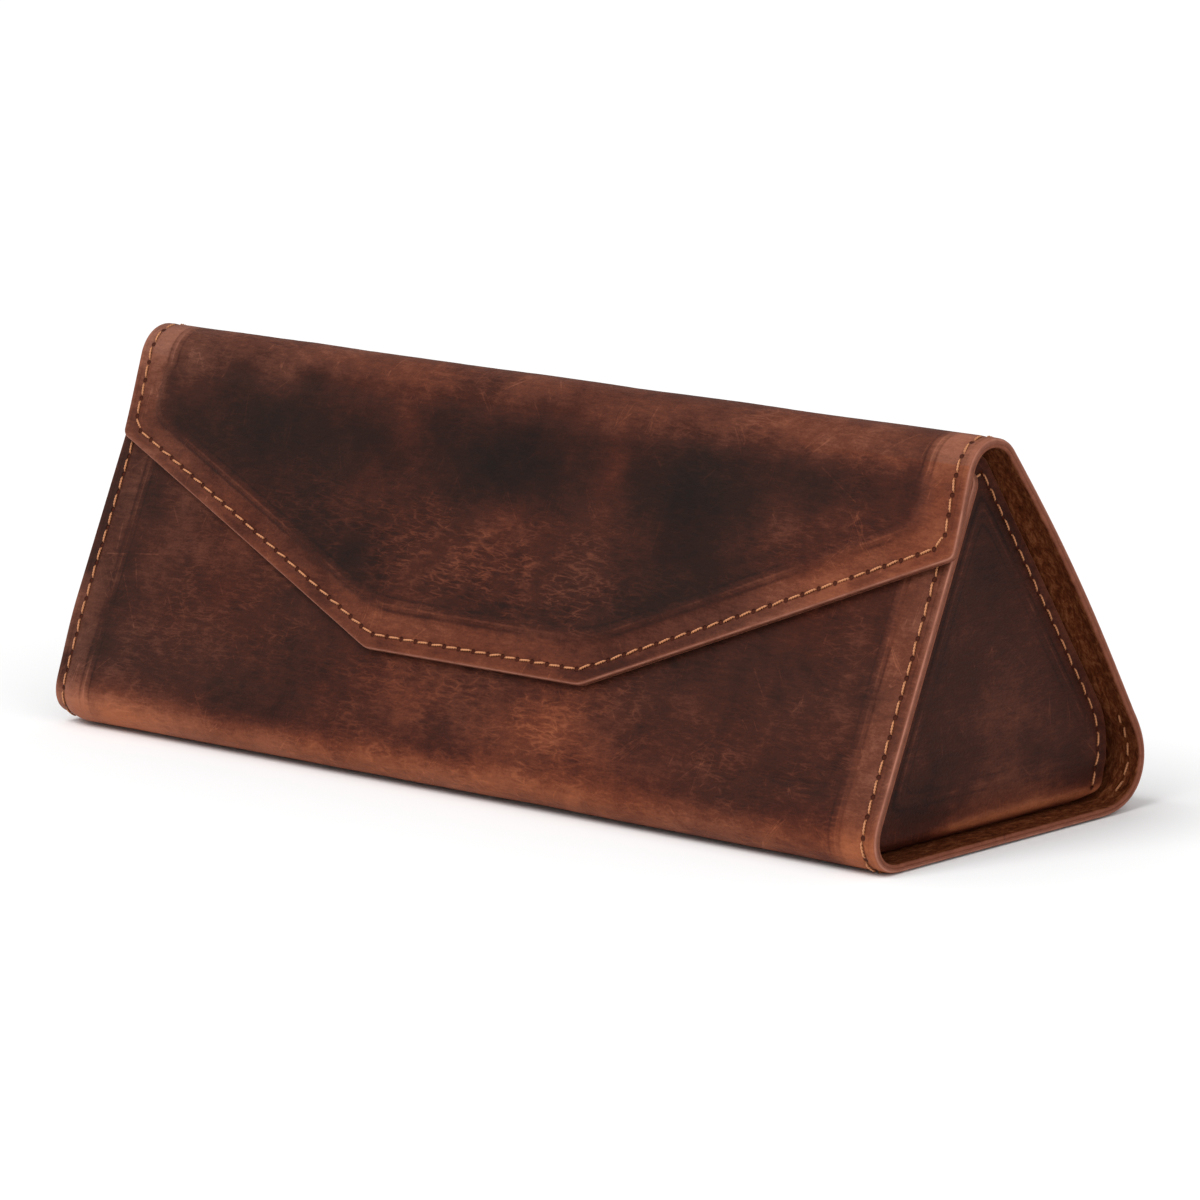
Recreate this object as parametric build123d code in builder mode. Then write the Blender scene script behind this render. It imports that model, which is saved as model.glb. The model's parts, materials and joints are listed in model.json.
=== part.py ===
"""Folding triangular glasses case in leather, built in millimetres.

One long leather wrap makes the bottom, the front, the back and the closing flap, and soft folds
join those four stiffened panels. A triangular panel stands in each end of the wrap and folds inward.
X runs along the case, -Y is the front and +Z is up. The origin is the middle of the underside.
"""

import os
from math import atan2, cos, degrees, hypot, radians, sin, tan

from build123d import *

# ---- overall size -------------------------------------------------------------------------------
length = 170.0
depth = 62.6
front_slope = 65.2
back_slope = 55.5
front_fold_radius = 6.8
rear_fold_radius = 9.8
top_fold_radius = 6.0
front_reach = 63.0

# ---- layers -------------------------------------------------------------------------------------
leather = 0.9
lining = 0.6
board = 0.8
wrap = leather + lining
flap_clearance = 0.25
pocket_wall = 1.2
panel_corner = 3.0
board_corner = 2.0

# ---- flap ---------------------------------------------------------------------------------------
flap_end_depth = 24.2
flap_middle_depth = 51.8
flap_flat_half = 22.0
flap_tip_radius = 5.0
flap_corner_radius = 1.5

# ---- margins of the stiffening boards -----------------------------------------------------------
board_end_margin = 7.5
board_fold_margin = 3.0
board_free_margin = 7.0
bottom_board_half = 65.0
end_board_margin = 5.0

# ---- end panels ---------------------------------------------------------------------------------
end_recess = 4.2
end_gap = 1.2
end_top_radius = 3.0
end_fold_radius = 2.4
tab_length = 9.0
tab_side_margin = 3.0

# ---- stitching and magnets ----------------------------------------------------------------------
stitch_inset = 2.5
end_stitch_inset = 2.0
stitch_pitch = 3.0
stitch_length = 2.2
thread = 0.4
groove_width = 0.5
magnet_radius = 4.0
magnet_half_spacing = 13.0
magnet_depth = 38.0

# ---- section of the wrap, worked out in the YZ plane --------------------------------------------
half = length / 2
front_angle = radians(front_slope)
back_angle = radians(back_slope)
front_turn = 180 - front_slope
rear_turn = 180 - back_slope
top_turn = front_slope + back_slope
front_tangent = front_fold_radius * tan(radians(front_turn / 2))
rear_tangent = rear_fold_radius * tan(radians(rear_turn / 2))
top_tangent = top_fold_radius * tan(radians(top_turn / 2))
front_centre_y = -depth / 2 + front_fold_radius
rear_centre_y = depth / 2 - rear_fold_radius
front_corner_y = front_centre_y - front_tangent
rear_corner_y = rear_centre_y + rear_tangent

# The flap lies on the front, so its outer face stands one flap thickness outside the front's face.
flap_foot_y = front_corner_y - (wrap + flap_clearance) / sin(front_angle)
slope_run = 1 / tan(front_angle) + 1 / tan(back_angle)
apex_z = (rear_corner_y - flap_foot_y) / slope_run
apex_y = flap_foot_y + apex_z / tan(front_angle)
back_reach = hypot(rear_corner_y - apex_y, apex_z) - rear_tangent
top_lean = radians((front_slope - back_slope) / 2)
top_centre_reach = top_fold_radius / cos(radians(top_turn / 2))
top_centre_y = apex_y + top_centre_reach * sin(top_lean)
top_centre_z = apex_z - top_centre_reach * cos(top_lean)

# Each panel's plane lies on its outer face, faces outward, and has its y axis along the wrap.
front_normal = (0, -sin(front_angle), cos(front_angle))
back_normal = (0, sin(back_angle), cos(back_angle))
bottom_plane = Plane(origin=(0, 0, 0), x_dir=(1, 0, 0), z_dir=(0, 0, -1))
front_plane = Plane(origin=(0, front_corner_y, 0), x_dir=(1, 0, 0), z_dir=front_normal)
flap_plane = Plane(origin=(0, apex_y, apex_z), x_dir=(1, 0, 0), z_dir=front_normal)
back_plane = Plane(origin=(0, apex_y, apex_z), x_dir=(1, 0, 0), z_dir=back_normal)

# Each fold: centre of its arc, outer radius, first direction and turn, in the YZ plane.
folds = {
    "front": ((front_centre_y, front_fold_radius), front_fold_radius, front_slope + 90, front_turn),
    "rear": ((rear_centre_y, rear_fold_radius), rear_fold_radius, 270, rear_turn),
    "top": ((top_centre_y, top_centre_z), top_fold_radius, 90 - back_slope, top_turn),
}

seam_x = half - stitch_inset
end_face_x = half - end_recess
end_pivot_x = end_face_x - end_fold_radius
end_pivot_z = wrap + end_fold_radius


def save(piece, name):
    """Labels a finished piece and writes its STEP file."""
    piece.part.label = name
    export_step(piece.part, f"parts/{name}.step")


def panel(x_half, low, high, low_radius=0.0, high_radius=0.0):
    """Corner points and radii of a rectangular panel."""
    points = [(-x_half, low), (x_half, low), (x_half, high), (-x_half, high)]
    return points, [low_radius, low_radius, high_radius, high_radius]


def rounded(plane, sunk, shape, grow=0.0):
    """The face of a rounded outline, sunk below a panel's outer face and grown all round."""
    points, radii = shape
    with BuildSketch(plane.offset(-sunk)) as face:
        with BuildLine():
            FilletPolyline(*points, radius=radii, close=True)
        make_face()
        if grow:
            offset(amount=grow)
    return face.sketch


def layer(plane, sunk, shape, thickness, grow=0.0, mode=Mode.ADD):
    """A flat layer of the given outline, going inward from its sunk outer face."""
    extrude(rounded(plane, sunk, shape, grow), amount=-thickness, mode=mode)


def magnet_discs(plane, sunk, along, mode=Mode.ADD):
    """The pair of closing magnets, or their holes in a board."""
    with BuildSketch(plane.offset(-sunk)) as discs:
        with Locations((-magnet_half_spacing, along), (magnet_half_spacing, along)):
            Circle(magnet_radius)
    extrude(discs.sketch, amount=-board, mode=mode)


def seam_groove(plane, points):
    """The shallow channel that a line of stitches lies in."""
    with BuildSketch(plane.offset(-thread)) as channel:
        with BuildLine():
            Polyline(*points)
        trace(line_width=groove_width)
    extrude(channel.sketch, amount=2 * thread, mode=Mode.SUBTRACT)


def seam_threads(plane, points):
    """Evenly spaced stitches lying flush in the channel along the same points."""
    with BuildSketch(plane.offset(-thread)) as bars:
        for start, end in zip(points, points[1:]):
            run = Vector(*end) - Vector(*start)
            count = round(run.length / stitch_pitch)
            heading = degrees(atan2(run.Y, run.X))
            for step in range(count):
                middle = Vector(*start) + run * ((step + 0.5) / count)
                with Locations(Location((middle.X, middle.Y, 0), (0, 0, heading))):
                    Rectangle(stitch_length, thread)
    extrude(bars.sketch, amount=thread)


def fold_band(fold, x_low, x_high, sunk, thickness, first=0.0, last=1.0, mode=Mode.ADD):
    """A layer of a fold, between two shares of its turn."""
    centre, radius, start, turn = fold
    with BuildSketch(Plane.YZ.offset(x_low)) as band:
        with BuildLine():
            outer = CenterArc(centre, radius - sunk, start + first * turn, (last - first) * turn)
            inner = CenterArc(
                centre, radius - sunk - thickness, start + first * turn, (last - first) * turn
            )
            Line(outer @ 0, inner @ 0)
            Line(outer @ 1, inner @ 1)
        make_face()
    extrude(band.sketch, amount=x_high - x_low, mode=mode)


def fold_seam(fold, side, as_groove):
    """The stitch channel round a fold near one end of the case, or the stitches in it."""
    radius, turn = fold[1], fold[3]
    width = groove_width if as_groove else thread
    low = side * seam_x - width / 2
    if as_groove:
        fold_band(fold, low, low + width, 0, thread, mode=Mode.SUBTRACT)
        return
    arc_length = radius * radians(turn)
    count = round(arc_length / stitch_pitch)
    share = stitch_length / arc_length / 2
    for step in range(count):
        middle = (step + 0.5) / count
        fold_band(fold, low, low + width, 0, thread, middle - share, middle + share)


def inset_triangle(inset, front_radius, rear_radius, top_radius):
    """The inside of the wrap's section, drawn in from its outer faces, as points and radii."""
    top_z = rear_corner_y - front_corner_y - inset / sin(front_angle) - inset / sin(back_angle)
    top_z = top_z / slope_run
    points = [
        (front_corner_y + inset / tan(front_angle / 2), inset),
        (rear_corner_y - inset / tan(back_angle / 2), inset),
        (front_corner_y + inset / sin(front_angle) + top_z / tan(front_angle), top_z),
    ]
    return points, [front_radius, rear_radius, top_radius]


# ---- outlines of the panels, on their own planes ------------------------------------------------
bottom_outline = panel(half, -rear_centre_y, -front_centre_y)
front_outline = panel(half, front_tangent, front_reach, 0.0, panel_corner)
back_outline = panel(half, top_tangent, back_reach)
flap_outline = (
    [
        (-half, -top_tangent),
        (-half, -flap_end_depth),
        (-flap_flat_half, -flap_middle_depth),
        (flap_flat_half, -flap_middle_depth),
        (half, -flap_end_depth),
        (half, -top_tangent),
    ],
    [0.0, flap_corner_radius, flap_tip_radius, flap_tip_radius, flap_corner_radius, 0.0],
)

board_half = half - board_end_margin
bottom_board_outline = panel(
    bottom_board_half,
    -rear_centre_y + board_fold_margin,
    -front_centre_y - board_fold_margin,
    board_corner,
    board_corner,
)
front_board_outline = panel(
    board_half,
    front_tangent + board_fold_margin,
    front_reach - board_free_margin,
    board_corner,
    board_corner,
)
back_board_outline = panel(
    board_half,
    top_tangent + board_fold_margin,
    back_reach - board_fold_margin,
    board_corner,
    board_corner,
)
flap_edge_rise = (flap_middle_depth - flap_end_depth) / (half - flap_flat_half)
flap_board_tip = flap_middle_depth - board_free_margin
flap_board_end = flap_board_tip - flap_edge_rise * (board_half - flap_flat_half)
flap_board_outline = (
    [
        (-board_half, -top_tangent - board_fold_margin),
        (-board_half, -flap_board_end),
        (-flap_flat_half, -flap_board_tip),
        (flap_flat_half, -flap_board_tip),
        (board_half, -flap_board_end),
        (board_half, -top_tangent - board_fold_margin),
    ],
    [1.0, 1.0, flap_tip_radius, flap_tip_radius, 1.0, 1.0],
)
front_magnet_along = hypot(front_corner_y - apex_y, apex_z) - magnet_depth

# ---- seams: the flap's runs down one end, along its lower edge and up the other end --------------
flap_seam_end = flap_end_depth - stitch_inset
flap_seam_tip = flap_middle_depth - stitch_inset
flap_seam = [
    (-seam_x, -top_tangent),
    (-seam_x, -flap_seam_end),
    (-flap_flat_half, -flap_seam_tip),
    (flap_flat_half, -flap_seam_tip),
    (seam_x, -flap_seam_end),
    (seam_x, -top_tangent),
]


def end_seams(outline):
    """The straight stitch lines along both ends of a panel."""
    low = outline[0][0][1]
    high = outline[0][2][1]
    return [[(side * seam_x, low), (side * seam_x, high)] for side in (-1, 1)]


bottom_seams = end_seams(bottom_outline)
front_seams = end_seams(panel(half, front_tangent, front_reach - stitch_inset))
back_seams = end_seams(back_outline)

os.makedirs("parts", exist_ok=True)

# ---- bottom, front and back: outer leather ------------------------------------------------------
with BuildPart() as bottom_leather:
    layer(bottom_plane, 0, bottom_outline, leather)
    for seam in bottom_seams:
        seam_groove(bottom_plane, seam)
save(bottom_leather, "bottom_leather")

with BuildPart() as front_leather:
    layer(front_plane, 0, front_outline, leather)
    for seam in front_seams:
        seam_groove(front_plane, seam)
save(front_leather, "front_leather")

with BuildPart() as back_leather:
    layer(back_plane, 0, back_outline, leather)
    for seam in back_seams:
        seam_groove(back_plane, seam)
save(back_leather, "back_leather")

# ---- bottom, front and back: stiffening boards and the linings that wrap over them --------------
with BuildPart() as bottom_board:
    layer(bottom_plane, leather, bottom_board_outline, board)
save(bottom_board, "bottom_board")

with BuildPart() as bottom_lining:
    layer(bottom_plane, leather, bottom_outline, lining)
    layer(bottom_plane, leather, bottom_board_outline, board + lining, pocket_wall)
    layer(bottom_plane, leather, bottom_board_outline, board, mode=Mode.SUBTRACT)
save(bottom_lining, "bottom_lining")

with BuildPart() as front_board:
    layer(front_plane, leather, front_board_outline, board)
    magnet_discs(front_plane, leather, front_magnet_along, Mode.SUBTRACT)
save(front_board, "front_board")

with BuildPart() as front_magnets:
    magnet_discs(front_plane, leather, front_magnet_along)
save(front_magnets, "front_magnets")

with BuildPart() as front_lining:
    layer(front_plane, leather, front_outline, lining)
    layer(front_plane, leather, front_board_outline, board + lining, pocket_wall)
    layer(front_plane, leather, front_board_outline, board, mode=Mode.SUBTRACT)
save(front_lining, "front_lining")

with BuildPart() as back_board:
    layer(back_plane, leather, back_board_outline, board)
save(back_board, "back_board")

with BuildPart() as back_lining:
    layer(back_plane, leather, back_outline, lining)
    layer(back_plane, leather, back_board_outline, board + lining, pocket_wall)
    layer(back_plane, leather, back_board_outline, board, mode=Mode.SUBTRACT)
save(back_lining, "back_lining")

# ---- flap: its board stands out towards the outside, so that its inner face stays flat ----------
with BuildPart() as flap_leather:
    layer(flap_plane, 0, flap_outline, leather)
    layer(flap_plane, -board, flap_board_outline, board, pocket_wall)
    layer(flap_plane, leather - board, flap_board_outline, board, mode=Mode.SUBTRACT)
    seam_groove(flap_plane, flap_seam)
save(flap_leather, "flap_leather")

with BuildPart() as flap_board:
    layer(flap_plane, leather - board, flap_board_outline, board)
    magnet_discs(flap_plane, leather - board, -magnet_depth, Mode.SUBTRACT)
save(flap_board, "flap_board")

with BuildPart() as flap_magnets:
    magnet_discs(flap_plane, leather - board, -magnet_depth)
save(flap_magnets, "flap_magnets")

with BuildPart() as flap_lining:
    layer(flap_plane, leather, flap_outline, lining)
save(flap_lining, "flap_lining")

# ---- stitching of the four panels ---------------------------------------------------------------
with BuildPart() as bottom_stitching:
    for seam in bottom_seams:
        seam_threads(bottom_plane, seam)
save(bottom_stitching, "bottom_stitching")

with BuildPart() as front_stitching:
    for seam in front_seams:
        seam_threads(front_plane, seam)
save(front_stitching, "front_stitching")

with BuildPart() as back_stitching:
    for seam in back_seams:
        seam_threads(back_plane, seam)
save(back_stitching, "back_stitching")

with BuildPart() as flap_stitching:
    seam_threads(flap_plane, flap_seam)
save(flap_stitching, "flap_stitching")

# ---- soft folds that join the four panels -------------------------------------------------------
for fold_name, fold in folds.items():
    with BuildPart() as fold_leather:
        fold_band(fold, -half, half, 0, leather)
        for side in (-1, 1):
            fold_seam(fold, side, as_groove=True)
    save(fold_leather, f"{fold_name}_fold_leather")

    with BuildPart() as fold_lining:
        fold_band(fold, -half, half, leather, lining)
    save(fold_lining, f"{fold_name}_fold_lining")

    with BuildPart() as fold_stitching:
        for side in (-1, 1):
            fold_seam(fold, side, as_groove=False)
    save(fold_stitching, f"{fold_name}_fold_stitching")

# ---- end panels: a triangle that stands on its own fold and is glued down by a tab ---------------
panel_inset = wrap + end_gap
end_outline = inset_triangle(
    panel_inset,
    front_fold_radius - panel_inset,
    rear_fold_radius - panel_inset,
    end_top_radius,
)
board_inset = panel_inset + end_board_margin
end_board_outline = inset_triangle(board_inset, board_corner, board_corner, board_corner)
seam_inset = panel_inset + end_stitch_inset
seam_corners = inset_triangle(seam_inset, 0, 0, 0)[0]
seam_rear_y = rear_centre_y + rear_fold_radius - seam_inset
seam_low_z = end_pivot_z + end_stitch_inset
front_seam_y = front_corner_y + seam_inset / sin(front_angle)
back_seam_y = rear_corner_y - seam_inset / sin(back_angle)
back_seam_z = 2 * rear_fold_radius - end_pivot_z
end_seam = [
    (front_seam_y + front_fold_radius / tan(front_angle), front_fold_radius),
    seam_corners[2],
    (back_seam_y - back_seam_z / tan(back_angle), back_seam_z),
    (seam_rear_y, rear_fold_radius),
    (seam_rear_y - thread, seam_low_z),
]
tab_middle_y = (front_centre_y + rear_centre_y) / 2
tab_width = rear_centre_y - front_centre_y - 2 * tab_side_margin


def flipped(shape, side):
    """An end outline as seen on the outer face of one end."""
    points, radii = shape
    return [(side * y, z) for y, z in points], radii


def cut_below(plane, sunk, thickness, height):
    """Trims an end layer straight at a height above the table."""
    with BuildSketch(plane.offset(-sunk + board)) as below:
        Rectangle(2 * depth, 2 * height)
    extrude(below.sketch, amount=-thickness - 2 * board, mode=Mode.SUBTRACT)


for side, end_name in ((-1, "left"), (1, "right")):
    face = Plane(origin=(side * end_face_x, 0, 0), x_dir=(0, side, 0), z_dir=(side, 0, 0))
    outline = flipped(end_outline, side)
    board_outline = flipped(end_board_outline, side)
    seam = [(side * y, z) for y, z in end_seam]
    board_foot = end_pivot_z + end_board_margin

    with BuildPart() as end_board:
        layer(face, leather - board, board_outline, board)
        cut_below(face, leather - board, board, board_foot)
    save(end_board, f"{end_name}_end_board")

    with BuildPart() as raised:
        layer(face, -board, board_outline, board, pocket_wall)
        cut_below(face, -board, board, board_foot - pocket_wall)

    with BuildPart() as end_leather:
        layer(face, 0, outline, leather)
        cut_below(face, 0, leather, end_pivot_z)
        add(raised.part)
        add(end_board.part, mode=Mode.SUBTRACT)
        seam_groove(face, seam)
    save(end_leather, f"{end_name}_end_leather")

    with BuildPart() as end_lining:
        layer(face, leather, outline, lining)
        cut_below(face, leather, lining, end_pivot_z)
    save(end_lining, f"{end_name}_end_lining")

    with BuildPart() as end_stitching:
        seam_threads(face, seam)
    save(end_stitching, f"{end_name}_end_stitching")

    # The fold and the tab run along Y, so they are drawn from the side of the case.
    side_plane = Plane(
        origin=(0, tab_middle_y, 0),
        x_dir=(side, 0, 0),
        z_dir=(0, -side, 0),
    )
    with BuildPart() as end_fold:
        with BuildSketch(side_plane) as fold_section:
            with BuildLine():
                pivot = (end_pivot_x, end_pivot_z)
                outer = CenterArc(pivot, end_fold_radius, 270, 90)
                inner = CenterArc(pivot, end_fold_radius - leather, 270, 90)
                Line(outer @ 0, inner @ 0)
                Line(outer @ 1, inner @ 1)
            make_face()
        extrude(amount=tab_width / 2, both=True)
    save(end_fold, f"{end_name}_end_fold")

    with BuildPart() as end_tab:
        with BuildSketch(side_plane) as tab_section:
            with Locations((end_pivot_x - tab_length / 2, wrap + leather / 2)):
                Rectangle(tab_length, leather)
        extrude(amount=tab_width / 2, both=True)
    save(end_tab, f"{end_name}_end_tab")
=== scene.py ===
"""Looks of a folding triangular glasses case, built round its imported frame.

Each sheet of leather or suede is shaped as a flat pattern in millimetres, and then wrapped round the
frame. On the wrap's pattern, x runs along the case and s runs along the wrap: from the front's top
edge down the front, under the bottom, up the back, over the top and down the flap.
"""

import json
import math

import bpy
import numpy as np
from mathutils import Matrix, Vector


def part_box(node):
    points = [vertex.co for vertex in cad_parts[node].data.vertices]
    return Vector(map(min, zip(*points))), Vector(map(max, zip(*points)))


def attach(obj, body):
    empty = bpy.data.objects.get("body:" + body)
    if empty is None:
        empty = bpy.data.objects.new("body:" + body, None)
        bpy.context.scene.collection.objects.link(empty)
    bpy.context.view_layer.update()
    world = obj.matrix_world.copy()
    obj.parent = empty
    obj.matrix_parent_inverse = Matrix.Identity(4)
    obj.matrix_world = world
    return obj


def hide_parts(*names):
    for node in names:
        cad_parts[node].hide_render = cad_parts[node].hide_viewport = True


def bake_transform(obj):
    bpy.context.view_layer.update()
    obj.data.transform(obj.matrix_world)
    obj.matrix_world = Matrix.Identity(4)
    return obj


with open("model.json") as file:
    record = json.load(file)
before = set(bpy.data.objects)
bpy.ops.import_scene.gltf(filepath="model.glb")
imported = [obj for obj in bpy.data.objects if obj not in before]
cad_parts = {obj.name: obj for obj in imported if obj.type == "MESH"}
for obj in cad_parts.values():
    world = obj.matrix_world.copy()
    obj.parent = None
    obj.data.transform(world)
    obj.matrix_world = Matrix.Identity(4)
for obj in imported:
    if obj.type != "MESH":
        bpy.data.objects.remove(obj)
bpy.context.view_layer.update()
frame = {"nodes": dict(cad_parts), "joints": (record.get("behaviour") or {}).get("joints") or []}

MM = 0.001

# ---- camera: the photograph's viewing angle --------------------------------------------------------
camera_azimuth = math.radians(41.59)
camera_elevation = math.radians(10.77)
camera_roll = math.radians(-0.20)
camera_distance = 1.0529
camera_lens = 204.2
camera_sensor = 36.0
camera_target = Vector((0.0017, 0.0027, 0.0258))


def make_camera():
    """A long lens on the photograph's side of the case."""
    back = Vector((
        math.sin(camera_azimuth) * math.cos(camera_elevation),
        -math.cos(camera_azimuth) * math.cos(camera_elevation),
        math.sin(camera_elevation),
    ))
    data = bpy.data.cameras.new("camera")
    data.lens = camera_lens
    data.sensor_width = camera_sensor
    data.clip_start = 0.05
    data.clip_end = 20.0
    camera = bpy.data.objects.new("camera", data)
    bpy.context.scene.collection.objects.link(camera)
    turn = (-back).to_track_quat("-Z", "Y").to_matrix() @ Matrix.Rotation(camera_roll, 3, "Z")
    camera.matrix_world = Matrix.Translation(camera_target + back * camera_distance) @ turn.to_4x4()
    bpy.context.scene.camera = camera


make_camera()

# ---- thicknesses and details, in millimetres -------------------------------------------------------
leather = 0.9
lining = 0.6
board = 0.8
wrap = leather + lining
glue_gap = 0.05
edge_round = 0.4
inner_edge_round = 0.35
rim_bulge = 0.07
front_slope = math.radians(65.2)
back_slope = math.radians(55.5)
top_fold_radius = 6.0
panel_corner = 3.0
flap_flat_half = 22.0
flap_side = 13.66
flap_tip_radius = 5.0
flap_corner_radius = 1.5
flap_skew = 2.2
flap_skew_start = 4.0
flap_skew_length = 12.0
board_fold_margin = 3.0
board_free_margin = 7.0
flap_rise = 0.75
board_groove = 0.13
standing_gap = 0.2
fold_bow = 0.22
front_corner_push = 1.3
rear_corner_push = 1.5
top_lift = 0.3
back_flare = 1.15
left_curl = 1.0
end_rise = 0.5
end_shoulder = 4.6
end_gap = 1.2
end_fold_radius = 2.4
end_board_margin = 5.0
end_top_radius = 3.0
end_front_radius = 3.8
end_waist_radius = 9.0
end_rear_radius = 2.6
end_rear_gain = 0.9
end_waist_z = 14.0
end_foot_y = 27.2
tab_length = 9.0
tab_side_margin = 3.0
tab_flare = 2.9
stitch_inset = 2.25
seam_depth = 0.13
sunk_stitch = 0.42
end_stitch_inset = 2.0
end_seam_low = -0.3
end_front_seam_low = 4.0
end_seam_foot_in = 0.4
end_seam_top_radius = 1.2
stitch_pitch = 3.0
ply_radius = 0.12
ply_offset = 0.095
cut_below_fold = 1.5
sheet_steps = {"front": 0.44, "rear": 0.5, "flap": 0.38}
lining_step = 0.75
edge_lines = np.array([0, 0.02, 0.08, 0.18, 0.32, 0.5, 0.82, 1.2])
deep_inside = 1e3


def joint_place(name):
    """Place of a joint of the frame, in millimetres."""
    return [v / MM for v in next(j for j in frame["joints"] if j["name"] == name)["pos_m"]]


def node_box(name):
    """Lowest and highest corner of a CAD node, in millimetres."""
    low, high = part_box(name)
    return np.array(low) / MM, np.array(high) / MM


# ---- the wrap's outer line in the YZ plane ----------------------------------------------------------
half = node_box("bottom_leather")[1][0]
board_half = node_box("front_board")[1][0]
bottom_board_half = node_box("bottom_board")[1][0]
front_fold_y, front_fold_radius = joint_place("front_lean")[1:]
rear_fold_y, rear_fold_radius = joint_place("back_lean")[1:]
end_pivot_x, _, end_pivot_z = joint_place("right_end_fold_in")

front_foot_z = front_fold_radius * (1 + math.cos(front_slope))
front_length = (node_box("front_leather")[1][2] - front_foot_z) / math.sin(front_slope)
back_foot_z = rear_fold_radius * (1 + math.cos(back_slope))
back_top_z = node_box("top_fold_leather")[1][2] - top_fold_radius * (1 - math.cos(back_slope))
back_length = (back_top_z - back_foot_z) / math.sin(back_slope)
flap_top_z = node_box("top_fold_leather")[1][2] - top_fold_radius * (1 - math.cos(front_slope))
flap_tip_z = node_box("flap_leather")[0][2] + leather * math.cos(front_slope)
flap_length = (flap_top_z - flap_tip_z) / math.sin(front_slope)

run_lengths = np.array([
    front_length,
    front_fold_radius * (math.pi - front_slope),
    rear_fold_y - front_fold_y,
    rear_fold_radius * (math.pi - back_slope),
    back_length,
    top_fold_radius * (front_slope + back_slope),
    flap_length,
])
run_bends = np.array([0, 1 / front_fold_radius, 0, 1 / rear_fold_radius, 0, 1 / top_fold_radius, 0])
run_starts = np.concatenate([[0], np.cumsum(run_lengths)[:-1]])
run_headings = front_slope - math.pi + np.concatenate([[0], np.cumsum(run_lengths * run_bends)[:-1]])
front_foot, bottom_start, bottom_end, back_foot, back_top, flap_start = run_starts[1:]
flap_tip = flap_start + flap_length
flap_end = flap_start + flap_side
bottom_middle = (bottom_start + bottom_end) / 2
wrap_cut = back_top - cut_below_fold


def along_run(heading, bend, distance):
    """Steps in y and z after a distance along a straight or evenly bent run."""
    turned = heading + bend * distance
    safe = np.where(bend == 0, 1, bend)
    y = np.where(bend == 0, distance * np.cos(heading), (np.sin(turned) - np.sin(heading)) / safe)
    z = np.where(bend == 0, distance * np.sin(heading), (np.cos(heading) - np.cos(turned)) / safe)
    return y, z, turned


run_steps = np.array(along_run(run_headings, run_bends, run_lengths)[:2])
run_y, run_z = np.concatenate([[[0], [0]], np.cumsum(run_steps, axis=1)[:, :-1]], axis=1)
run_y = run_y + front_fold_y - run_y[2]
run_z = run_z - run_z[2]


def skew(s):
    """How far the flap's leather has crept along the case, as it isn't cut or folded quite square."""
    past = np.clip(s - flap_start, 0, None)
    past = past**2 / (past + flap_skew_start)
    return flap_skew * (1 - np.exp(-past / flap_skew_length))


def hump(s, start, end):
    """A smooth hump from 0 at start through 1 to 0 at end."""
    t = np.clip((s - start) / (end - start), 0, 1)
    return np.sin(math.pi * t) ** 2


def settle(x, s):
    """How far the worn wrap stands outward of its nominal outer line, as every layer of it does."""
    ends = smooth(np.abs(x), board_half, half - 2)
    top = top_lift * (1 - x / half) * hump(s, back_top - 2.5, flap_start + 2.5)
    flare = back_flare * ends * np.sqrt(hump(s, back_foot, back_top + 4))
    curl = left_curl * smooth(-x, board_half + 2, half) * smooth(s, front_foot - 11, front_foot + 5)
    curl = curl * (1 - smooth(s, bottom_start + 2, bottom_start + 18))
    corners = front_corner_push * hump(s, front_foot, bottom_start)
    corners = corners + rear_corner_push * hump(s, bottom_end, back_foot)
    return top + flare - curl + corners - bow(x, s)


def bow(x, s):
    """How far the front fold bows in between the case's ends."""
    low = smooth(s, front_foot - board_fold_margin, front_foot + board_fold_margin)
    high = smooth(s, bottom_start - 1, bottom_start + board_fold_margin)
    return fold_bow * low * (1 - high) * (1 - (x / half) ** 2)


def smooth(value, low=0.0, high=1.0):
    """Runs from 0 at low to 1 at high without a kink."""
    t = np.clip((value - low) / (high - low), 0, 1)
    return t * t * (3 - 2 * t)


def on_wrap(x, s, height):
    """Points of the wrap's pattern in space. Height is above its outer line, outward."""
    height = height + settle(x, s)
    run = np.clip(np.searchsorted(run_starts, s, side="right") - 1, 0, len(run_starts) - 1)
    y, z, heading = along_run(run_headings[run], run_bends[run], s - run_starts[run])
    y = run_y[run] + y + height * np.sin(heading)
    z = run_z[run] + z - height * np.cos(heading)
    return np.stack([x + skew(s), y, z], axis=-1)


# ---- the end panels' pattern: y across the case, t up the panel from its fold -------------------------
end_fold_length = end_fold_radius * math.pi / 2
end_inset = wrap + end_gap
front_corner_y = front_fold_y - front_fold_radius / math.tan(front_slope / 2)
rear_corner_y = rear_fold_y + rear_fold_radius / math.tan(back_slope / 2)


def on_end(side, y, t, height):
    """Points of an end panel's pattern in space: its tab, its fold and its upright face."""
    turn = np.clip(-t / end_fold_radius, 0, math.pi / 2)
    beyond = np.clip(-t - end_fold_length, 0, None)
    x = end_pivot_x + (end_fold_radius + height) * np.cos(turn) - beyond
    z = end_pivot_z - (end_fold_radius + height) * np.sin(turn) + np.clip(t, 0, None)
    return np.stack([side * x, y, z], axis=-1)


# ---- small helpers ---------------------------------------------------------------------------------
def noise(x, y, seed):
    """Smooth random heights between -1 and 1 on a unit lattice."""
    table = np.random.default_rng(seed).random((64, 64)) * 2 - 1
    xi, yi = np.floor(x).astype(int), np.floor(y).astype(int)
    u, v = smooth(x - xi), smooth(y - yi)
    corner = [[table[(xi + i) % 64, (yi + j) % 64] for j in (0, 1)] for i in (0, 1)]
    low = corner[0][0] * (1 - u) + corner[1][0] * u
    high = corner[0][1] * (1 - u) + corner[1][1] * u
    return low * (1 - v) + high * v


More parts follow.
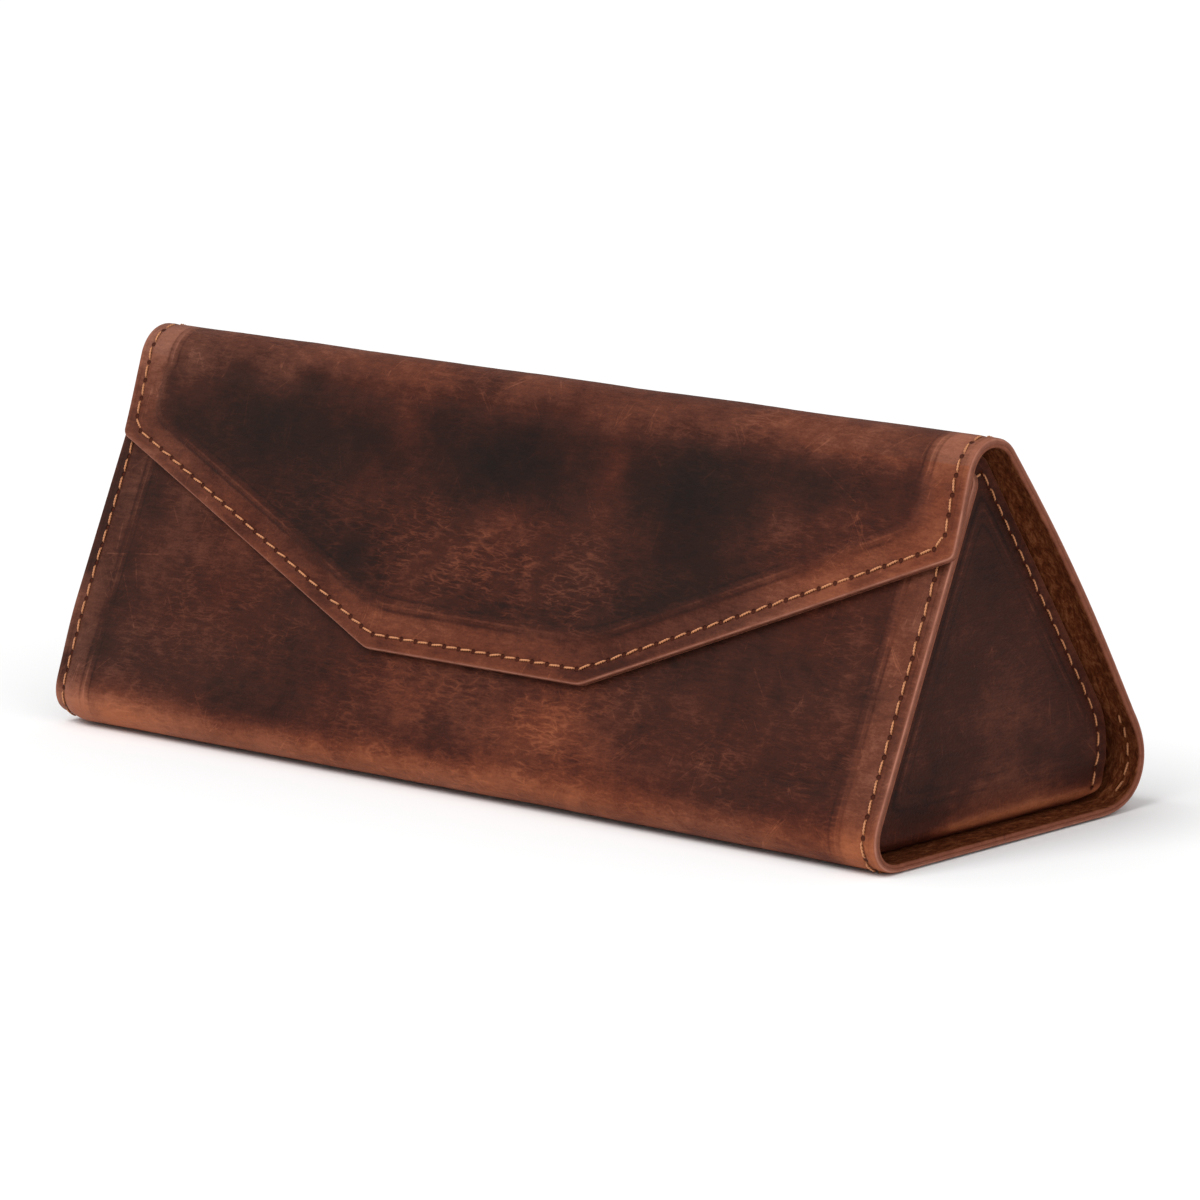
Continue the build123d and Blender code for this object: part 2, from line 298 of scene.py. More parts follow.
def layered_noise(x, y, seed, layers=3):
    """Noise with finer layers on top, each half as strong."""
    return sum(noise(x * 2**k, y * 2**k, seed + k) / 2**k for k in range(layers))


def round_over(distance, radius):
    """How far a rounded edge drops at a distance inside the outline."""
    inside = np.clip(radius - distance, 0, radius)
    return radius - np.sqrt(radius**2 - inside**2)


def soft_max(values, softness):
    """The largest of several distances, with rounded corners where two meet."""
    scaled = np.stack(values) / softness
    top = scaled.max(axis=0)
    return (top + np.log(np.exp(scaled - top).sum(axis=0))) * softness


def rounded_runs(corners, radii, step):
    """A polyline with rounded corners as a list of dense runs: line, arc, line, arc and so on."""
    corners = [np.array(c, float) for c in corners]
    runs, start = [], corners[0]
    for before, corner, after, radius in zip(corners, corners[1:], corners[2:], radii):
        into = (corner - before) / np.linalg.norm(corner - before)
        out = (after - corner) / np.linalg.norm(after - corner)
        turn = math.atan2(into[0] * out[1] - into[1] * out[0], into @ out)
        reach = radius * math.tan(abs(turn) / 2)
        first = corner - into * reach
        count = max(6, math.ceil(2 * radius * abs(turn) / step))
        angles = np.linspace(0, turn, count + 1)
        side = np.sign(turn) * np.array([-into[1], into[0]])
        centre = first + side * radius
        spin = np.stack([np.cos(angles), np.sin(angles)], axis=-1)
        arm = first - centre
        arc = centre + np.outer(spin[:, 0], arm) + np.outer(spin[:, 1], [-arm[1], arm[0]])
        runs += [straight(start, first, step), arc]
        start = arc[-1]
    return runs + [straight(start, corners[-1], step)]


def straight(start, end, step):
    """Even points on a straight run."""
    count = max(1, round(np.linalg.norm(end - start) / step))
    return start + np.linspace(0, 1, count + 1)[:, None] * (end - start)


def joined(runs):
    """One line of points from runs that meet."""
    return np.concatenate([runs[0]] + [r[1:] for r in runs[1:]])


def resampled(line, count):
    """The same line with an even number of steps."""
    gone = np.concatenate([[0], np.cumsum(np.linalg.norm(np.diff(line, axis=0), axis=1))])
    at = np.linspace(0, gone[-1], count + 1)
    return np.stack([np.interp(at, gone, line[:, k]) for k in (0, 1)], axis=-1)


def inset_corners(corners, amount):
    """Corners of a clockwise open polyline moved to its right-hand side by an amount."""
    corners = np.array(corners, float)
    ahead = np.diff(corners, axis=0)
    ahead /= np.linalg.norm(ahead, axis=1)[:, None]
    right = np.stack([ahead[:, 1], -ahead[:, 0]], axis=-1)
    moved = [corners[0] + amount * right[0]]
    for k in range(1, len(corners) - 1):
        middle = right[k - 1] + right[k]
        moved.append(corners[k] + amount * middle * 2 / (middle @ middle))
    return moved + [corners[-1] + amount * right[-1]]


def nearest_on_line(x, y, line):
    """Distance from points to a line of points, and how far along it the nearest place is."""
    best = np.full(x.shape, 1e9)
    place = np.zeros(x.shape)
    gone = 0.0
    for start, end in zip(line, line[1:]):
        ahead = end - start
        length = np.linalg.norm(ahead)
        share = np.clip(((x - start[0]) * ahead[0] + (y - start[1]) * ahead[1]) / length**2, 0, 1)
        away = np.hypot(x - start[0] - share * ahead[0], y - start[1] - share * ahead[1])
        closer = away < best
        best = np.where(closer, away, best)
        place = np.where(closer, gone + share * length, place)
        gone += length
    return best, place


# ---- flat patterns as nets of points ---------------------------------------------------------------
class Pattern:
    """A net of points over a sheet: an even net inside, and finer lines along its free edges.

    left and right run from the sheet's cut side to its far side, and far runs from left to right.
    """

    def __init__(self, left, far, right, far_is_free=True):
        rows, columns = len(left) - 1, len(far) - 1
        index = np.arange((rows + 1) * (columns + 1)).reshape(rows + 1, columns + 1)
        if far_is_free:
            paths = [np.concatenate([left, far[1:-1], right[::-1]])]
            path_ids = [np.concatenate([index[:, 0], index[-1, 1:-1], index[::-1, -1]])]
        else:
            paths = [left, right[::-1]]
            path_ids = [index[:, 0], index[::-1, -1]]
        inner = edge_lines[-1]
        inset = [path + inner * self.inward(path) for path in paths]
        in_left, in_right = inset[0][: rows + 1], inset[-1][-rows - 1 :][::-1]
        if far_is_free:
            in_far = inset[0][rows : rows + columns + 1]
        else:
            in_x = np.interp(far[:, 0], far[[0, -1], 0], [in_left[-1, 0], in_right[-1, 0]])
            in_far = np.stack([in_x, far[:, 1]], axis=-1)
        net = self.between(in_left, in_far, in_right)
        points = [net.reshape(-1, 2)]
        depths = [np.full(index.size, deep_inside)]
        quads = np.stack([index[:-1, :-1], index[1:, :-1], index[1:, 1:], index[:-1, 1:]], axis=-1)
        self.rings, self.band_quads = [], []
        count = index.size
        for path, ring in zip(paths, path_ids):
            normal = self.inward(path)
            depths[0][ring] = inner
            rings = [ring]
            for reach in edge_lines[-2::-1]:
                points.append(path + reach * normal)
                depths.append(np.full(len(path), reach))
                outer = count + np.arange(len(path))
                count += len(path)
                corners = [outer[:-1], outer[1:], rings[-1][1:], rings[-1][:-1]]
                self.band_quads.append(np.stack(corners, axis=-1))
                rings.append(outer)
            self.rings.append(rings)
        self.points = np.concatenate(points)
        self.distance = np.concatenate(depths)
        self.index = index
        self.quads = np.concatenate([quads.reshape(-1, 4)] + self.band_quads)
        self.count = count
        self.far_is_free = far_is_free
        self.outline = self.make_outline()

    @staticmethod
    def between(left, far, right):
        """An even net of points between a left, a far and a right line, and a straight near line."""
        spread = (far[:, 0] - far[0, 0]) / (far[-1, 0] - far[0, 0])
        u = spread[None, :, None]
        v = np.linspace(0, 1, len(left))[:, None, None]
        near = left[0] + spread[:, None] * (right[0] - left[0])
        net = (1 - v) * near + v * far + (1 - u) * left[:, None] + u * right[:, None]
        net = net - (1 - u) * (1 - v) * left[0] - u * (1 - v) * right[0]
        return net - (1 - u) * v * left[-1] - u * v * right[-1]

    @staticmethod
    def inward(path):
        """Unit normals towards the sheet, for a path that has the sheet on its right."""
        ahead = np.gradient(path, axis=0)
        ahead[0], ahead[-1] = path[1] - path[0], path[-1] - path[-2]
        ahead /= np.linalg.norm(ahead, axis=1)[:, None]
        return np.stack([ahead[:, 1], -ahead[:, 0]], axis=-1)

    def make_outline(self):
        """The closed outline as point numbers, and which of its steps lie on a free edge."""
        first, last = self.rings[0], self.rings[-1]
        runs = [(first[-1], True), ([r[-1] for r in first[::-1]], False)]
        if not self.far_is_free:
            runs += [(self.index[-1], False), ([r[0] for r in last], False)]
            runs += [(last[-1], True), ([r[-1] for r in last[::-1]], False)]
        runs += [(self.index[0, ::-1], False), ([r[0] for r in first], False)]
        ids = np.concatenate([np.asarray(run)[:-1] for run, _ in runs])
        free = np.concatenate([np.full(len(run) - 1, is_free) for run, is_free in runs])
        return ids, free

    def coarse_faces(self, block=4):
        """Faces over the same outline with few points inside, for a side that is never seen."""
        rows, columns = self.index.shape[0] - 1, self.index.shape[1] - 1
        row_cuts = list(range(0, rows, block)) + [rows]
        column_cuts = list(range(0, columns, block)) + [columns]
        faces = []
        for k0, k1 in zip(row_cuts, row_cuts[1:]):
            for i0, i1 in zip(column_cuts, column_cuts[1:]):
                up = range(k0, k1) if i0 == 0 else [k0]
                across = range(i0, i1) if k1 == rows else [i0]
                down = range(k1, k0, -1) if i1 == columns else [k1]
                back = range(i1, i0, -1) if k0 == 0 else [i1]
                face = [self.index[k, i0] for k in up] + [self.index[k1, i] for i in across]
                face += [self.index[k, i1] for k in down] + [self.index[k0, i] for i in back]
                faces.append([int(n) for n in face])
        return faces + np.concatenate(self.band_quads).tolist()


def make_mesh(name, points, faces, smooth_faces, values):
    """A mesh object from points in millimetres. values are named numbers or vectors on the points."""
    points = np.asarray(points)
    used = np.zeros(len(points), bool)
    for face in faces:
        used[face] = True
    renumber = np.cumsum(used) - 1
    faces = [[int(renumber[n]) for n in face] for face in faces]
    points = points[used]
    fans = np.array([(f[0], f[k], f[k + 1]) for f in faces for k in range(1, len(f) - 1)])
    a, b, c = (points[fans[:, k]] for k in range(3))
    if np.einsum("ij,ij->i", a, np.cross(b, c)).sum() < 0:
        faces = [f[::-1] for f in faces]
    mesh = bpy.data.meshes.new(name)
    mesh.from_pydata((points * MM).tolist(), [], faces)
    mesh.polygons.foreach_set("use_smooth", smooth_faces)
    for label, value in values.items():
        value = np.asarray(value, np.float32)[used]
        kind = "FLOAT_VECTOR" if value.ndim == 2 else "FLOAT"
        layer = mesh.attributes.new(label, kind, "POINT")
        layer.data.foreach_set("vector" if value.ndim == 2 else "value", value.ravel())
    mesh.update()
    made = bpy.data.objects.new(name, mesh)
    bpy.context.scene.collection.objects.link(made)
    return made


def make_layer(name, pattern, place, fine_height, hidden_height, values):
    """A closed layer over a pattern: a fine side that is seen, a coarse hidden side and its edge.

    The edge bulges a little on its way from the fine side to where leather and lining meet.
    """
    x, s = pattern.points.T
    fine = place(x, s, fine_height)
    ids, free = pattern.outline
    out = np.zeros_like(pattern.points)
    for rings in pattern.rings:
        path = pattern.points[rings[-1]]
        out[rings[-1]] = -Pattern.inward(path) * rim_bulge
    hidden_height = np.array(hidden_height, float)
    for rings in pattern.rings:
        hidden_height[rings[-1]] = -leather
    hidden = place(x + out[:, 0], s + out[:, 1], hidden_height)
    count = pattern.count
    fine_faces = pattern.quads.tolist()
    hidden_faces = [[n + count for n in f[::-1]] for f in pattern.coarse_faces()]
    walls = [
        [int(b), int(a), int(a) + count, int(b) + count] for a, b in zip(ids, np.roll(ids, -1))
    ]
    is_smooth = [True] * len(fine_faces) + [False] * len(hidden_faces) + [bool(f) for f in free]
    both = {k: np.concatenate([v, v]) for k, v in values.items()}
    hidden_edge = np.where(pattern.distance == 0, -1.0, deep_inside)
    both["edge"] = np.clip(np.concatenate([pattern.distance, hidden_edge]), -1, 50)
    points = np.concatenate([fine, hidden])
    return make_mesh(name, points, fine_faces + hidden_faces + walls, is_smooth, both)


# ---- relief of the wrap ----------------------------------------------------------------------------
def box_distance(x, s, x_half, s_low, s_high, radius=2.0):
    """Distance outside a rounded board, negative over it."""
    dx = np.abs(x) - (x_half - radius)
    ds = np.abs(s - (s_low + s_high) / 2) - ((s_high - s_low) / 2 - radius)
    outside = np.hypot(np.clip(dx, 0, None), np.clip(ds, 0, None))
    return outside + np.minimum(np.maximum(dx, ds), 0) - radius


edge_run = (flap_tip - flap_end) / (half - flap_flat_half)
edge_lean = math.atan(edge_run)


def flap_border_distance(x, s):
    """Distance outside the flap's board towards its free edges, negative over it."""
    tip = flap_tip - board_free_margin
    slanted = (s - tip + edge_run * (np.abs(x) - flap_flat_half)) * math.cos(edge_lean)
    return soft_max([np.abs(x) - board_half, slanted, s - tip], 0.8)


def flap_board_distance(x, s):
    """Distance outside the flap's board, negative over it."""
    return soft_max([flap_border_distance(x, s), flap_start + board_fold_margin - s], 0.8)


def outline_distance(x, s):
    """Distance outside the board outlines that show through the leather."""
    return np.where(s > back_top, flap_border_distance(x, s), np.abs(x) - board_half)


def wrap_board_distance(x, s):
    """Distance outside the nearest board of the front, the bottom and the back."""
    boards = [
        (board_half, board_free_margin, front_foot - board_fold_margin),
        (bottom_board_half, bottom_start + board_fold_margin, bottom_end - board_fold_margin),
        (board_half, back_foot + board_fold_margin, back_top - board_fold_margin),
    ]
    return np.minimum.reduce([box_distance(x, s, *b) for b in boards])


def seam_coordinates(x, s):
    """Distance from the wrap's seam, and the place along it counted in stitches."""
    straight_away = np.abs(np.abs(x) - (half - stitch_inset))
    along = s - stitch_inset
    place = np.where(x < 0, along, seam_total - along)
    nearer = s > flap_end - 8
    away, at = straight_away.copy(), place.copy()
    if nearer.any():
        away[nearer], at[nearer] = nearest_on_line(x[nearer], s[nearer], flap_seam)
        at[nearer] += flap_seam_start
    return away, at / seam_pitch


def relief(x, s):
    """Slow unevenness of the leather, and the small wrinkles across it."""
    waves = 0.07 * layered_noise(x / 17, s / 12, 11)
    bent = x / 3.4 + 0.8 * layered_noise(x / 9, s / 7, 21)
    wrinkles = 1 - np.abs(layered_noise(bent, s / 1.25 + 0.5 * noise(x / 5, s / 5, 27), 31, 2)) * 2
    return waves, 0.05 * leather_wrinkle(x, s) * wrinkles


def seam_valley(away, at, pitch):
    """Depth pulled in along a seam and at its holes."""
    to_hole = np.hypot((at - np.round(at)) * pitch, away)
    return seam_depth * np.exp(-((away / 0.7) ** 2)) + 0.1 * np.exp(-((to_hole / 0.45) ** 2))


def outer_height(x, s, distance):
    """Height of the outer leather above the wrap's nominal outer line."""
    flap_up = flap_rise * (1 - smooth(flap_board_distance(x, s), -0.3, 2.3))
    groove = board_groove * np.exp(-(((wrap_board_distance(x, s) - 0.4) / 0.8) ** 2))
    waves, wrinkles = relief(x, s)
    calm = smooth(distance, 0.3, 3.0)
    up = np.where(s > back_top, flap_up, -groove)
    up = up - standing_gap * smooth(s, front_foot, bottom_start) * (1 - smooth(s, bottom_end, back_foot))
    up = up + (waves + wrinkles) * calm - seam_valley(*seam_coordinates(x, s), seam_pitch)
    return up - round_over(distance, edge_round)


def leather_back_height(x, s):
    """Height of the outer leather's hidden side."""
    flap_up = board * (1 - smooth(flap_board_distance(x, s), 0.15, 1.5))
    return np.where(s > back_top, flap_up, 0) - leather + glue_gap


def lining_back_height(x, s):
    """Height of the lining's hidden side, which wraps round the boards."""
    pocket = board * (1 - smooth(wrap_board_distance(x, s), 0.15, 1.6))
    return -leather - glue_gap - np.where(s > back_top, 0, pocket)


def inner_height(x, s, distance):
    """Height of the lining's open side."""
    pocket = board * (1 - smooth(wrap_board_distance(x, s), 0.3, 2.6))
    fuzz = 0.04 * layered_noise(x / 1.3, s / 1.3, 51) + 0.04 * layered_noise(x / 9, s / 9, 61)
    away, _ = seam_coordinates(x, s)
    valley = 0.15 * np.exp(-((away / 0.8) ** 2))
    up = -wrap - np.where(s > back_top, 0, pocket)
    return up + fuzz * smooth(distance, 0, 2) + valley + round_over(distance, inner_edge_round)


# ---- the seam along the wrap's edges, as one line --------------------------------------------------
flap_corners = [
    (-half, flap_start),
    (-half, flap_end),
    (-flap_flat_half, flap_tip),
    (flap_flat_half, flap_tip),
    (half, flap_end),
    (half, flap_start),
]
flap_radii = [flap_corner_radius, flap_tip_radius, flap_tip_radius, flap_corner_radius]
flap_seam_corners = inset_corners(flap_corners, stitch_inset)
flap_seam = joined(rounded_runs(flap_seam_corners, flap_radii, 1.5))
flap_seam_start = flap_start - stitch_inset
flap_seam_length = np.linalg.norm(np.diff(flap_seam, axis=0), axis=1).sum()
seam_total = 2 * flap_seam_start + flap_seam_length
seam_stitches = round(seam_total / stitch_pitch)
seam_pitch = seam_total / seam_stitches


# ---- colour plan of the leather on the pattern -----------------------------------------------------
def patches(x, s, spots):
    """Sum of soft spots, each given by its middle, its half widths and its strength."""
    total = np.zeros(np.shape(x))
    for x0, s0, wide, long, strength in spots:
        total += strength * np.exp(-(((x - x0) / wide) ** 2) - ((s - s0) / long) ** 2)
    return total


flap_dark_spots = [
    (-50, 208, 22, 8, -0.23),
    (-3, 208, 16, 8, -0.29),
    (36, 208, 13, 9, -0.25),
    (60, 204, 12, 5, -0.15),
    (-30, 226, 9, 4, -0.12),
    (45, 221, 15, 6, -0.14),
    (-45, 199, 16, 2.5, -0.06),
    (-66, 197, 13, 5, -0.11),
]
flap_light_spots = [
    (-24, 205, 3.5, 5, 0.13),
    (-30, 213, 4.0, 5, 0.12),
    (19, 208, 3.5, 9, 0.13),
    (10, 227, 30, 7, -0.02),
    (77, 206, 7, 9, 0.04),
    (-78, 205, 7, 10, 0.06),
]
front_dark_spots = [
    (-52, 52, 13, 5, -0.10),
    (48, 32, 24, 14, -0.07),
    (66, 50, 16, 6, -0.05),
    (-78, 42, 3, 14, -0.06),
]
front_light_spots = [
    (-18, 47, 15, 8, 0.08),
    (20, 49, 13, 8, 0.15),
    (40, 53, 10, 5, 0.06),
    (-65, 46, 12, 6, 0.05),
    (-68, 60, 24, 5, 0.25),
]
wrinkled_spots = [
    (6, 226, 34, 9, 0.9),
    (-32, 222, 22, 9, 0.5),
    (58, 214, 22, 9, 0.4),
    (-55, 38, 34, 18, 0.25),
    (30, 44, 60, 16, 0.3),
    (0, 130, 70, 30, 0.5),
]


def leather_tone(x, s):
    """Dark to light, from about 0 to 1: pull-up leather is lighter where it bends or stretches."""
    tone = 0.385 + 0.09 * layered_noise(x / 30, s / 22, 71) + 0.05 * layered_noise(x / 9, s / 6, 81)
    wander = 1.6 * layered_noise(x / 9, s / 9, 191)
    top_bend = np.exp(-(((s + wander - (back_top + flap_start) / 2) / 8.6) ** 4))
    front_bend = smooth(s, front_foot + 1.5, front_foot + 6)
    front_bend = front_bend * (1 - smooth(s, bottom_start, bottom_start + 7))
    rear_bend = np.exp(-(((s - (bottom_end + back_foot) / 2) / 12.5) ** 4))
    tone = tone + 0.24 * top_bend + 0.32 * front_bend + 0.26 * rear_bend
    spots = flap_dark_spots + flap_light_spots + front_dark_spots + front_light_spots
    tone = tone + patches(x, s, spots)
    away = outline_distance(x, s)
    border = smooth(away + 0.8 * noise(x / 6, s / 6, 201), -1.3, 1.8)
    border = border * (1 + 0.3 * noise(x / 9, s / 9, 211))
    inner_ring = np.exp(-(((away + 2.2) / 1.6) ** 2))
    outer_ring = smooth(away, 4.6, 5.6) * smooth(layered_noise(x / 14, s / 14, 91), -0.5, 0.4)
    outer_ring = outer_ring * (1 - 0.6 * smooth(x, 15, 60))
    return tone + 0.20 * border - 0.04 * inner_ring - 0.17 * outer_ring


def leather_warmth(x, s):
    """Greyish brown at 0 to orange at 1."""
    warmth = 0.50 + 0.2 * layered_noise(x / 18, s / 12, 171)
    front_bend = smooth(s, front_foot - 2, front_foot + 6)
    front_bend = front_bend * (1 - smooth(s, bottom_start, bottom_start + 7))
    warmth = warmth + 0.4 * front_bend + 1.3 * patches(x, s, flap_dark_spots + front_dark_spots)
    warmth = warmth + 2.0 * patches(x, s, flap_light_spots[:4] + front_light_spots[:3])
    flap_warmth = 0.3 * smooth(x, 50, 75) + 0.15 * smooth(outline_distance(x, s), 0, 2)
    warmth = warmth + flap_warmth * (s > flap_start)
    return warmth - 0.3 * np.exp(-(((x + half) / 18) ** 2))


def leather_wrinkle(x, s):
    """How strongly the leather is wrinkled, from 0 to 1."""
    some = 0.25 + 0.3 * layered_noise(x / 14, s / 10, 181) + patches(x, s, wrinkled_spots)
    return np.clip(some, 0, 1) * (1 - 0.75 * smooth(outline_distance(x, s), -1.5, 1.5))


def look_vector(tone, warmth, wrinkle):
    """Tone, warmth and wrinkling as one vector for the material."""
    tone, warmth, wrinkle = np.broadcast_arrays(tone, np.clip(warmth, 0, 1), wrinkle)
    return np.stack([tone, warmth, wrinkle], axis=-1)


def seam_vector(away, at):
    """Seam coordinates as one vector for the material."""
    return np.stack([at, np.clip(away, 0, 20), np.zeros_like(at)], axis=-1)


# ---- patterns of the wrap's three lengths of leather -----------------------------------------------
def front_pattern(step):
    """From a cut in the middle of the bottom, round the front fold, to the front's top edge."""
    corners = [(half, bottom_middle), (half, 0), (-half, 0), (-half, bottom_middle)]
    runs = rounded_runs(corners, [panel_corner, panel_corner], step)
    rows = len(runs[0]) - 1
    return Pattern(runs[0], joined(runs[1:-1]), resampled(runs[-1][::-1], rows))


def rear_pattern(step):
    """From the middle of the bottom, round the rear fold and up the back to just below the top fold."""
    left = straight(np.array([-half, bottom_middle]), np.array([-half, wrap_cut]), step)
    right = left * [-1, 1]
    far = straight(left[-1], right[-1], step)
    return Pattern(left, far, right, far_is_free=False)


def flap_pattern(step):
    """From just below the top fold, over it and down the flap to its lower edge."""
    corners = [(-half, wrap_cut)] + flap_corners[1:-1] + [(half, wrap_cut)]
    runs = rounded_runs(corners, flap_radii, step)
    rows = round((flap_tip - wrap_cut) / step)
    return Pattern(resampled(runs[0], rows), joined(runs[1:-1]), resampled(runs[-1][::-1], rows))


# ---- materials -------------------------------------------------------------------------------------
class Nodes:
    """Short names for the shader nodes used here."""

    def __init__(self, name):
        self.material = bpy.data.materials.new(name)
        self.material.use_nodes = True
        self.tree = self.material.node_tree
        self.shader = self.tree.nodes["Principled BSDF"]

    def add(self, kind, inputs=(), **settings):
        node = self.tree.nodes.new(kind)
        for key, value in settings.items():
            setattr(node, key, value)
        for key, value in dict(inputs).items():
            self.put(value, node.inputs[key])
        return node

    def put(self, value, socket):
        if isinstance(value, bpy.types.NodeSocket):
            self.tree.links.new(value, socket)
        else:
            socket.default_value = value

    def attribute(self, name, output="Fac"):
        return self.add("ShaderNodeAttribute", attribute_name=name).outputs[output]

    def math(self, operation, a, b=0.0, clamp=False):
        node = self.add("ShaderNodeMath", {0: a, 1: b}, operation=operation, use_clamp=clamp)
        return node.outputs[0]

    def plus(self, value, part, amount):
        return self.math("ADD", value, self.math("MULTIPLY", part, amount))

    def vector(self, operation, a, b):
        if operation == "SCALE":
            inputs = {0: a, "Scale": b}
        else:
            inputs = {0: a, 1: b}
        node = self.add("ShaderNodeVectorMath", inputs, operation=operation)
        return node.outputs["Value" if operation in ("DOT_PRODUCT", "DISTANCE") else "Vector"]

    def split(self, vector):
        return self.add("ShaderNodeSeparateXYZ", {0: vector}).outputs

    def line(self, value, place, width, high=1.0, low=0.0):
        """high where a value is at a place, easing to low at a width on both sides of it."""
        return self.ramp(self.math("ABSOLUTE", self.math("SUBTRACT", value, place)), 0.0, width, high, low)

    def ramp(self, value, low, high, start=0.0, end=1.0):
        inputs = {"Value": value, "From Min": low, "From Max": high, "To Min": start, "To Max": end}
        node = self.add("ShaderNodeMapRange", inputs, interpolation_type="SMOOTHSTEP")
        return node.outputs[0]

    def scaled(self, vector, scale, turn=0.0):
        if turn:
            vector = self.add("ShaderNodeVectorRotate", {"Vector": vector, "Angle": turn}).outputs[0]
        return self.add("ShaderNodeMapping", {"Vector": vector, "Scale": scale}).outputs[0]

    def noise(self, vector, scale, detail=2.0, roughness=0.5, distortion=0.0):
        inputs = {"Vector": vector, "Scale": scale, "Detail": detail, "Roughness": roughness,
                  "Distortion": distortion}
        return self.add("ShaderNodeTexNoise", inputs).outputs["Fac"]

    def cells(self, vector, scale, feature="DISTANCE_TO_EDGE"):
        node = self.add("ShaderNodeTexVoronoi", {"Vector": vector, "Scale": scale}, feature=feature)
        return node.outputs["Distance"]

    def mix(self, share, a, b, blend="MIX"):
        node = self.add("ShaderNodeMix", data_type="RGBA", blend_type=blend)
        for key, value in (("Factor_Float", share), ("A_Color", a), ("B_Color", b)):
            self.put(value, next(i for i in node.inputs if i.identifier == key))
        return next(o for o in node.outputs if o.identifier == "Result_Color")

    def colours(self, value, stops):
        node = self.add("ShaderNodeValToRGB", {"Fac": value})
        elements = node.color_ramp.elements
        while len(elements) < len(stops):
            elements.new(0.5)
        for element, (place, colour) in zip(elements, stops):
            element.position = place
            element.color = (*colour, 1)
        return node.outputs["Color"]

    def bump(self, height, distance, strength=1.0, under=None):
        inputs = {"Height": height, "Distance": distance * MM, "Strength": strength}
        if under is not None:
            inputs["Normal"] = under
        return self.add("ShaderNodeBump", inputs).outputs["Normal"]

    def finish(self, colour, roughness, normal=None, **plain):
        self.put(colour, self.shader.inputs["Base Color"])
        self.put(roughness, self.shader.inputs["Roughness"])
        if normal is not None:
            self.put(normal, self.shader.inputs["Normal"])
        for key, value in plain.items():
            self.shader.inputs[key.replace("_", " ")].default_value = value
        return self.material


grey_browns = [
    (0.0, (0.0075, 0.0035, 0.0023)),
    (0.22, (0.017, 0.0058, 0.0036)),
    (0.42, (0.038, 0.0109, 0.0062)),
    (0.62, (0.090, 0.0305, 0.0185)),
    (1.0, (0.270, 0.1150, 0.0800)),
]
red_browns = [
    (0.0, (0.007, 0.0017, 0.0009)),
    (0.22, (0.023, 0.0042, 0.0018)),
    (0.42, (0.055, 0.0108, 0.0050)),
    (0.62, (0.126, 0.0290, 0.0120)),
    (1.0, (0.330, 0.0980, 0.0400)),
]
rim_dark = (0.130, 0.040, 0.022, 1)
rim_light = (0.31, 0.108, 0.066, 1)
# The burnished corner of the cut edges, lightened further as a painted highlight.
burnish_and_painted_highlight = (0.44, 0.190, 0.130, 1)
# Painted shade for the stitch holes and the seam's groove.
seam_shade_colour = (0.050, 0.0085, 0.0024, 1)


def scratches(n, flat, value):
    """Adds faint light scratches in three directions, in places."""
    for turn, stretch, shift in ((0.75, 0.06, 0.0), (-0.9, 0.07, 40.0), (1.45, 0.06, 90.0)):
        moved = n.vector("ADD", flat, (shift, shift, 0))
        strokes = n.noise(n.scaled(moved, (stretch, 0.9, 1.0), turn), 1.0, 1, 0.4)
        shown = n.ramp(n.noise(moved, 0.11, 1, 0.5), 0.5, 0.62, 0.0, 0.13)
        value = n.plus(value, n.line(strokes, 0.66, 0.016), shown)
    return value


def wrinkle_lines(n, flat):
    """Fine broken ridges, longer along the case than across it, and painted shade in the hollows between
    them.
    """
    push = n.add("ShaderNodeTexNoise", {"Vector": flat, "Scale": 0.4, "Detail": 2.0}).outputs["Color"]
    bent = n.vector("ADD", flat, n.vector("MULTIPLY", push, (1.4, 1.0, 0.0)))
    waves = n.noise(n.scaled(bent, (0.15, 1.0, 1.0)), 1.05, 1, 0.5)
    ridge = n.line(waves, 0.5, 0.05, 0.9)
    apart = n.cells(n.scaled(bent, (0.24, 1.0, 1.0)), 1.15)
    net = n.ramp(apart, 0.0, 0.12, 0.9, 0.0)
    broken = n.ramp(n.noise(n.scaled(flat, (0.5, 1.0, 1.0)), 0.7, 2, 0.6), 0.36, 0.56)
    lines = n.math("MULTIPLY", n.math("MAXIMUM", ridge, net), broken)
    return lines, n.ramp(apart, 0.10, 0.36)


def strokes_at(n, flat, strokes):
    """1 on thin straight scratches, each given by its two ends on the pattern, and 0 beside them."""
    total = 0.0
    for start, end in strokes:
        ahead = Vector((*end, 0)) - Vector((*start, 0))
        off = n.vector("SUBTRACT", flat, (*start, 0))
        along = n.vector("DOT_PRODUCT", off, ahead / ahead.length_squared)
        along = n.math("MULTIPLY", along, 1.0, clamp=True)
        away = n.vector("DISTANCE", off, n.vector("SCALE", ahead, along))
        total = n.math("MAXIMUM", total, n.ramp(away, 0.03, 0.16, 1.0, 0.0))
    return total


def hole_distance(n, seam):
    """Distance from the nearest stitch hole, in millimetres."""
    along = n.math("SUBTRACT", n.math("FRACT", n.math("ADD", seam[0], 0.5)), 0.5)
    along = n.math("MULTIPLY", along, stitch_pitch)
    across = n.math("MULTIPLY", seam[1], seam[1])
    return n.math("SQRT", n.plus(across, along, along))


wrap_strokes = [
    ((-81.0, 33.4), (-70.0, 32.2)),
    ((-76.0, 36.5), (-70.5, 44.5)),
    ((-74.5, 33.5), (-72.5, 38.0)),
    ((-79.6, 28.0), (-79.2, 32.5)),
    ((58.5, 201.5), (66.0, 206.0)),
    ((-58.8, 203.0), (-58.4, 208.0)),
    ((-37.5, 208.5), (-35.8, 212.5)),
]


